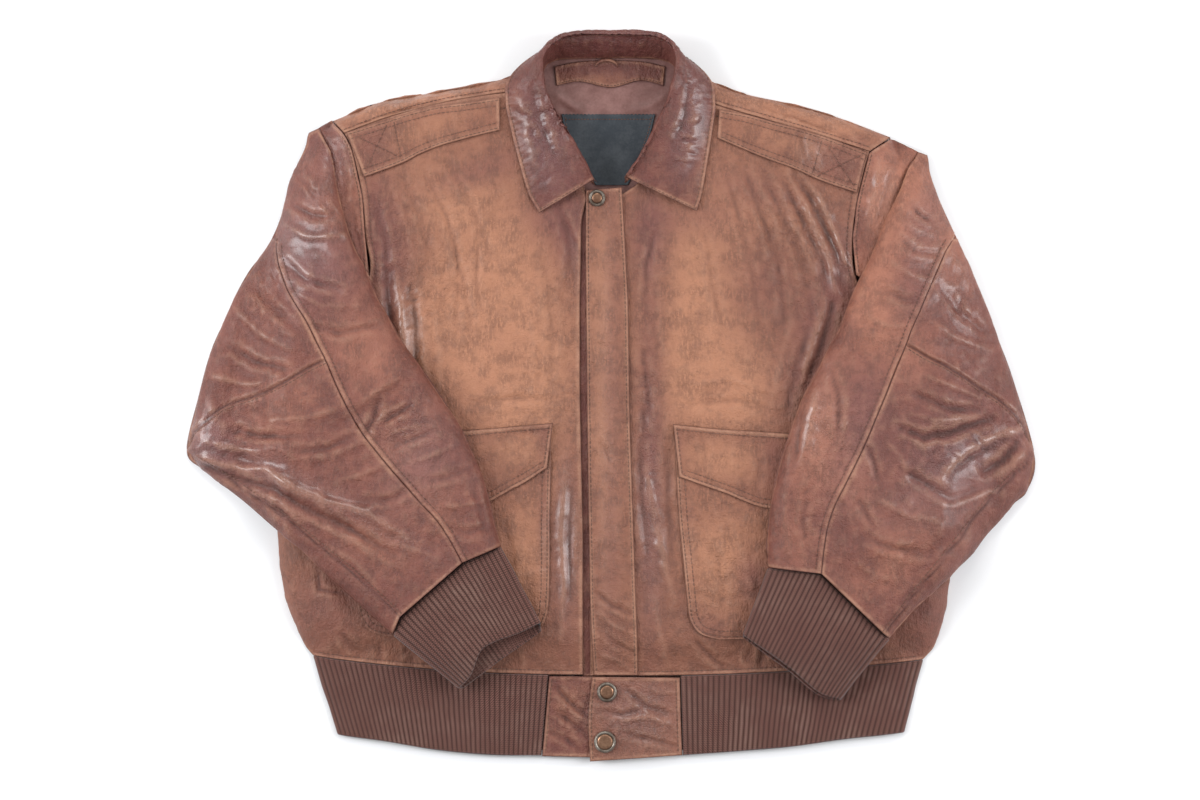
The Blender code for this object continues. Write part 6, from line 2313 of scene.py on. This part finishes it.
def finishes() -> Bench:
    """Mixes all finishes and lays out the bench."""
    effects = SharedEffects()
    mixed = {
        # The last colour of each leather is its plum tone, partly painted shade and sheen.
        "front": LeatherFinish("leather_front", (0.24, 0.088, 0.05), TAN, (0.19, 0.062, 0.047)),
        "body": LeatherFinish("leather_body", (0.155, 0.042, 0.029), (0.42, 0.18, 0.1), (0.135, 0.038, 0.036),
                              dull=0.57),
        "sleeve": LeatherFinish("leather_sleeve", (0.18, 0.053, 0.036), (0.4, 0.152, 0.09), PLUM,
                                dull=0.55, polished=0.32),
        "knit": KnitFinish(),
        "satin": ClothFinish("satin", (0.17, 0.07, 0.058), (0.3, 0.15, 0.13), rough=0.38),
        "label": ClothFinish("label", (0.035, 0.043, 0.052), (0.08, 0.09, 0.1), rough=0.85, weave=5200.0),
        "thread": ClothFinish("thread", (0.1, 0.045, 0.03), (0.2, 0.1, 0.07), rough=0.75),
        "pewter": MetalFinish("pewter", (0.4, 0.36, 0.31), (0.12, 0.09, 0.07)),
        "copper": MetalFinish("copper", (0.42, 0.24, 0.15), (0.16, 0.08, 0.05), 0.3),
    }
    return Bench(form=Form(), **{use: finish.material(effects) for use, finish in mixed.items()})


STRAP_WEAR_AND_SHADING = WearAndShading(
    patches=in_patches(
        tan=((430,128, 55,16, -18, 0.5), (780,140, 50,14, 18, 0.45)),
        plum=((372,148, 22,26, 0, 0.6), (840,165, 26,24, 0, 0.6)),
        shine=((815,155, 14,20, 0, 0.8),),
        crinkle=((370,150, 24,24, 0, 0.4), (840,165, 26,24, 0, 0.4)),
    ),
    creases=pressed(
        (416,116, 424,134, 432,148, 3, -0.6), (806,132, 815,152, 822,172, 5, 1.3),
        (798,130, 804,150, 806,168, 3, -0.8), (454,108, 456,124, 452,138, 3.4, 0.6),
    ),
    coarse=0.6,
)
PLACKET_WEAR_AND_SHADING = WearAndShading(
    creases=pressed(
        (600,440, 606,452, 612,466, 2.6, -0.9), (596,592, 612,606, 632,614, 3, -1.1),
        (598,612, 614,626, 634,634, 3, 1), (600,632, 616,644, 634,654, 3, -1.1), (602,655, 616,660, 632,672, 3, 0.9),
        (590,340, 606,346, 624,344, 3.4, -0.5), (604,240, 608,300, 606,360, 6, 0.5),
        (612,480, 610,530, 614,580, 5, -0.7),
    ),
    patches=in_patches(
        tan=((604,300, 14,90, 0, 0.7), (604,440, 14,60, 0, 0.6), (610,520, 12,50, 0, 0.35)),
        plum=((612,420, 10,300, 0, 0.4),),
        shine=((606,430, 12,260, 0, 0.6),),
        crinkle=((614,630, 20,45, 0, 0.6), (608,400, 20,160, 0, 0.22)),
    ),
    coarse=0.7,
)
POCKET_LEFT_WEAR_AND_SHADING = WearAndShading(
    creases=pressed(
        (548,500, 543,560, 538,620, 4, 1), (505,520, 512,570, 508,620, 4.5, -0.9),
        (490,560, 520,575, 546,570, 4, 0.9), (362,600, 375,615, 392,622, 3, -0.9),
    ),
    patches=in_patches(
        tan=((525,560, 26,60, 0, 0.85),),
        plum=((548,520, 8,60, 0, 0.5), (375,615, 26,22, 0, 0.7)),
        shine=((545,540, 10,60, 0, 0.4),),
        crinkle=((530,600, 30,40, 0, 0.4),),
    ),
    coarse=0.8,
)
POCKET_RIGHT_WEAR_AND_SHADING = WearAndShading(
    creases=pressed(
        (700,530, 718,560, 726,610, 4, -0.8), (730,520, 745,560, 752,600, 4, 0.8),
        (690,590, 720,600, 752,594, 3.4, -0.7), (712,500, 722,530, 720,560, 3.4, 0.7),
        (684,500, 690,540, 692,590, 3.4, 0.7),
    ),
    patches=in_patches(
        tan=((720,560, 42,55, 0, 0.95),),
        plum=((752,580, 16,26, 0, 0.75), (700,628, 30,12, 0, 0.4)),
        shine=((690,540, 8,50, 0, 0.4),),
        crinkle=((730,580, 40,45, 0, 0.6),),
    ),
    coarse=0.8,
)
FLAP_WEAR_AND_SHADING = WearAndShading(
    creases=pressed(
        (500,434, 506,450, 502,468, 3.4, -0.7), (526,430, 530,448, 524,466, 3.4, 0.7),
        (700,432, 706,452, 702,472, 3.4, -0.7), (735,436, 732,460, 738,484, 3.4, 0.7),
        (756,438, 760,466, 756,492, 3.4, -0.7),
    ),
    patches=in_patches(
        tan=((522,450, 30,18, 0, 0.8), (722,460, 40,22, 8, 0.85)),
        plum=((545,440, 8,22, 0, 0.5), (676,450, 6,26, 0, 0.5), (775,460, 16,34, 0, 0.6)),
        crinkle=((520,432, 40,6, 0, 0.6), (730,436, 60,6, 0, 0.6)),
    ),
    coarse=0.7,
)
LEFT_SLEEVE_WEAR_AND_SHADING = WearAndShading(
    creases=pressed(
        (322,136, 334,158, 340,186, 3.2, 1.3), (344,150, 350,178, 349,205, 3, 1.4),
        (350,205, 353,232, 360,256, 4, -1.8), (300,180, 308,186, 315,196, 2.4, -0.9),
        (324,204, 330,209, 336,216, 2.4, -0.9), (292,205, 312,216, 334,218, 3.6, -1.2),
        (285,225, 310,238, 345,236, 3.6, 1.4), (285,262, 306,280, 340,290, 4, -1.5),
        (296,292, 322,306, 362,306, 4, 1.3), (312,326, 340,334, 380,326, 3.6, -1.2),
        (365,436, 374,420, 380,400, 3.4, -2), (378,427, 396,414, 412,405, 3, -1.8),
        (384,436, 404,428, 428,424, 3, 1.4), (360,405, 376,392, 396,380, 3.2, 1.3),
        (395,446, 414,440, 436,430, 3.2, -1.3), (410,462, 430,456, 452,446, 3.2, 1.2),
        (425,482, 448,478, 468,468, 3.6, -1.1), (440,505, 462,505, 482,500, 3.6, 1.1),
        (448,528, 468,532, 490,526, 3.6, -1.1), (470,470, 478,500, 488,535, 4, -1.1),
        (250,285, 270,305, 300,330, 4, -1.4), (235,310, 262,335, 296,352, 4, 1.4),
        (225,345, 255,362, 290,370, 4, -1.6), (212,375, 240,384, 270,384, 3.6, 1.2),
        (200,440, 230,448, 262,452, 4, 1.8), (196,458, 232,466, 270,470, 300,488, 335,503, 372,514, 420,544, 5, 2.4),
        (206,468, 240,480, 276,490, 310,510, 350,528, 396,556, 4.6, -2.6), (230,430, 262,436, 300,436, 4, -1.8),
        (270,420, 306,418, 340,408, 4, 1.5), (300,452, 330,448, 356,436, 4, -1.6),
        (340,480, 364,474, 384,464, 3.6, 1.3), (360,500, 386,500, 408,492, 3.6, -1.2),
        (390,540, 414,548, 436,556, 4, 1.2), (268,500, 286,514, 300,532, 3.4, -1.1),
        (330,545, 356,560, 376,582, 4, 1.2),
    ),
    patches=in_patches(
        tan=(
            (352,170, 10,50, -10, 0.6), (330,220, 20,30, 0, 0.45), (370,350, 30,46, -25, 0.55),
            (425,480, 30,50, -30, 0.75), (300,400, 50,34, -20, 0.35), (380,545, 40,26, 35, 0.4),
            (260,300, 20,30, 0, 0.3),
        ),
        plum=(
            (312,262, 34,44, 0, 0.8), (212,450, 26,34, 0, 0.8), (425,470, 34,40, 30, 0.7), (340,150, 22,30, 0, 0.5),
        ),
        shine=(
            (330,500, 110,14, 28, 1), (300,250, 36,40, 0, 0.8), (205,445, 20,34, 0, 0.9), (338,155, 16,40, 10, 0.9),
            (415,430, 26,40, 30, 0.6),
        ),
        crinkle=(
            (400,420, 34,40, 40, 0.75), (262,296, 30,42, 0, 0.6), (275,512, 26,20, 30, 0.6),
            (240,430, 60,50, 0, 0.55), (340,170, 20,50, 0, 0.4), (430,520, 40,40, 0, 0.4),
        ),
    ),
    coarse=1.2,
)
RIGHT_SLEEVE_WEAR_AND_SHADING = WearAndShading(
    creases=pressed(
        (912,206, 922,216, 934,222, 2.6, -1.1), (905,222, 918,230, 932,234, 2.6, 1),
        (900,240, 916,252, 934,254, 3, -1.2), (890,262, 910,276, 930,280, 3.6, 1.3),
        (880,290, 902,300, 920,302, 3.6, -1.3), (868,318, 886,326, 906,326, 3.6, 1.1),
        (900,428, 922,437, 952,432, 992,418, 4.2, -2.8), (935,482, 958,456, 986,440, 1022,428, 5, 2.8),
        (985,472, 1002,462, 1018,446, 4.6, -2.8), (865,446, 872,460, 876,480, 3, -1.5),
        (858,500, 864,512, 872,526, 3, -1.3), (970,432, 976,440, 982,448, 2.6, -1.2),
        (925,375, 950,386, 985,400, 3.6, 1.4), (915,395, 945,408, 982,412, 3.8, -1.6),
        (905,412, 932,420, 960,420, 3.6, 1.4), (885,440, 900,458, 906,482, 3.6, 1.2),
        (900,470, 925,484, 950,500, 4, -1.6), (880,500, 905,515, 936,520, 4, 1.4),
        (862,535, 890,548, 920,552, 4, -1.3), (850,560, 876,575, 905,580, 4, 1.2),
        (952,505, 972,498, 995,490, 3.6, 1.3), (815,388, 812,415, 808,445, 4.6, 1.6),
        (800,408, 796,440, 792,470, 3.6, -1.1), (830,370, 838,400, 836,430, 3.6, -1.2),
        (845,400, 842,430, 832,460, 3.6, 1.1), (785,480, 784,515, 788,550, 3.8, 1),
        (805,490, 802,525, 808,556, 3.8, -1), (950,250, 962,272, 975,300, 4, 1.4),
        (938,285, 958,310, 982,330, 4, -1.4), (925,318, 950,335, 990,350, 4, 1.4),
        (880,160, 876,190, 868,215, 3, 1.2), (890,175, 884,205, 874,232, 3, -1.4),
    ),
    patches=in_patches(
        tan=(
            (905,200, 22,60, 22, 0.75), (870,290, 18,60, 22, 0.6), (878,180, 16,50, 10, 0.8),
            (815,450, 24,60, 12, 0.5), (930,225, 34,50, -20, 1), (895,320, 34,60, -20, 0.8),
            (835,450, 28,60, -20, 0.8), (890,560, 50,22, -40, 0.5), (870,340, 24,30, 0, 0.4),
            (800,545, 26,26, 0, 0.4),
        ),
        plum=(
            (955,450, 60,50, -20, 0.7), (850,440, 26,70, 15, 0.6), (925,225, 22,40, 15, 0.6),
            (915,300, 26,40, 0, 0.5),
        ),
        shine=(
            (978,452, 50,16, -35, 1), (814,420, 12,40, 8, 0.9), (950,290, 26,60, -20, 0.6), (880,190, 14,40, 10, 0.8),
            (920,500, 50,40, -30, 0.5),
        ),
        crinkle=(
            (825,470, 34,90, 14, 0.6), (950,440, 60,46, 0, 0.75), (915,235, 26,40, 0, 0.5),
            (900,570, 50,26, -40, 0.55), (960,320, 26,50, 0, 0.4),
        ),
    ),
    coarse=1.2,
)

CROSS_LEFT: tuple[Line, ...] = (
    ((393.5, 121), (401, 158)), ((358, 137), (400, 157)), ((387, 124), (366, 170)),
)
CROSS_RIGHT: tuple[Line, ...] = (
    ((822, 140), (812, 175)), ((828, 146), (855, 187)), ((861, 155), (818, 176)),
)


def build_trim(bench: Bench) -> None:
    """Builds the placket, both epaulets and both pockets.

    Args:
        bench: The form and the finishes.
    """
    Strap("placket", PLACKET_LEFT, PLACKET_RIGHT, PLACKET_WEAR_AND_SHADING, 9, seams=PLACKET_SEAMS).build(bench)
    for name, upper, lower, crosses in (
        ("epaulet_left", EPAULET_LEFT_UPPER, EPAULET_LEFT_LOWER, CROSS_LEFT),
        ("epaulet_right", EPAULET_RIGHT_UPPER, EPAULET_RIGHT_LOWER, CROSS_RIGHT),
    ):
        Strap(name, upper, lower, STRAP_WEAR_AND_SHADING, 5, seams=EPAULET_SEAMS, crosses=crosses).build(bench)
    rows, across = np.linspace(0, 9, 120), np.linspace(0, 1, 12)
    left = along(tuple((k, x - 12, y + 2) for k, x, y in PLACKET_LEFT), rows)
    xy = between(left, left + [24, 0], across)
    fold = bench.form.height(xy) - 2.3
    Cloth("zip_facing", (), "leather_body", Net(raised(xy, fold)), 1.0, rests_on=("back_panel",),
          lift=np.minimum(PLACKET_WEAR_AND_SHADING.relief(xy), 0.2)).build(bench.body)
    LOG.info("straps laid on the panels")
    Pocket(Side.LEFT, POCKET_LEFT_INNER, POCKET_LEFT_OUTER, FLAP_LEFT_TOP, FLAP_LEFT_EDGE,
           POCKET_LEFT_WEAR_AND_SHADING, FLAP_WEAR_AND_SHADING).build(bench)
    Pocket(Side.RIGHT, POCKET_RIGHT_INNER, POCKET_RIGHT_OUTER, FLAP_RIGHT_TOP, FLAP_RIGHT_EDGE,
           POCKET_RIGHT_WEAR_AND_SHADING, FLAP_WEAR_AND_SHADING).build(bench)


def main() -> None:
    """Builds the jacket from the back to the sleeves, then the studio round it."""
    logging.basicConfig(level=logging.INFO, format="%(message)s")
    bench = finishes()
    Back().build(bench)
    Neck().build(bench)
    Front(Side.LEFT, FRONT_LEFT_RAIL, FRONT_LEFT_ZIP, FRONT_LEFT_BOW, FRONT_LEFT_WEAR_AND_SHADING).build(bench)
    Front(Side.RIGHT, FRONT_RIGHT_RAIL, FRONT_RIGHT_ZIP, FRONT_RIGHT_BOW, FRONT_RIGHT_WEAR_AND_SHADING).build(bench)
    LOG.info("body panels joined")
    build_trim(bench)
    Waistband().build(bench)
    Collar().build(bench)
    LOG.info("collar and waistband sewn on")
    Sleeve(Side.LEFT, SLEEVE_LEFT_OUTER, SLEEVE_LEFT_LOWER, SLEEVE_LEFT_MAIN, SLEEVE_LEFT_INNER, ARMHOLE_LEFT,
           ELBOW_SEAM_LEFT, SLEEVE_FOLDS_LEFT, LEFT_SLEEVE_WEAR_AND_SHADING).build(bench)
    Sleeve(Side.RIGHT, SLEEVE_RIGHT_OUTER, SLEEVE_RIGHT_LOWER, SLEEVE_RIGHT_MAIN, SLEEVE_RIGHT_INNER, ARMHOLE_RIGHT,
           ELBOW_SEAM_RIGHT, SLEEVE_FOLDS_RIGHT, RIGHT_SLEEVE_WEAR_AND_SHADING).build(bench)
    Cuff("cuff_left", CUFF_LEFT_JOINT, CUFF_LEFT_HEM, CUFF_LEFT_UNDER).build(bench)
    Cuff("cuff_right", CUFF_RIGHT_JOINT, CUFF_RIGHT_HEM, CUFF_RIGHT_UNDER).build(bench)
    LOG.info("sleeves folded in, cuffs knitted on")
    for name, *place in (("snap_collar", 597, 198, 8.5), ("snap_upper", 607, 693, 10), ("snap_lower", 605, 743, 11)):
        Snap(name, *place).build(bench)
    Studio().build()
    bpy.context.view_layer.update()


if __name__ == "__main__":
    main()
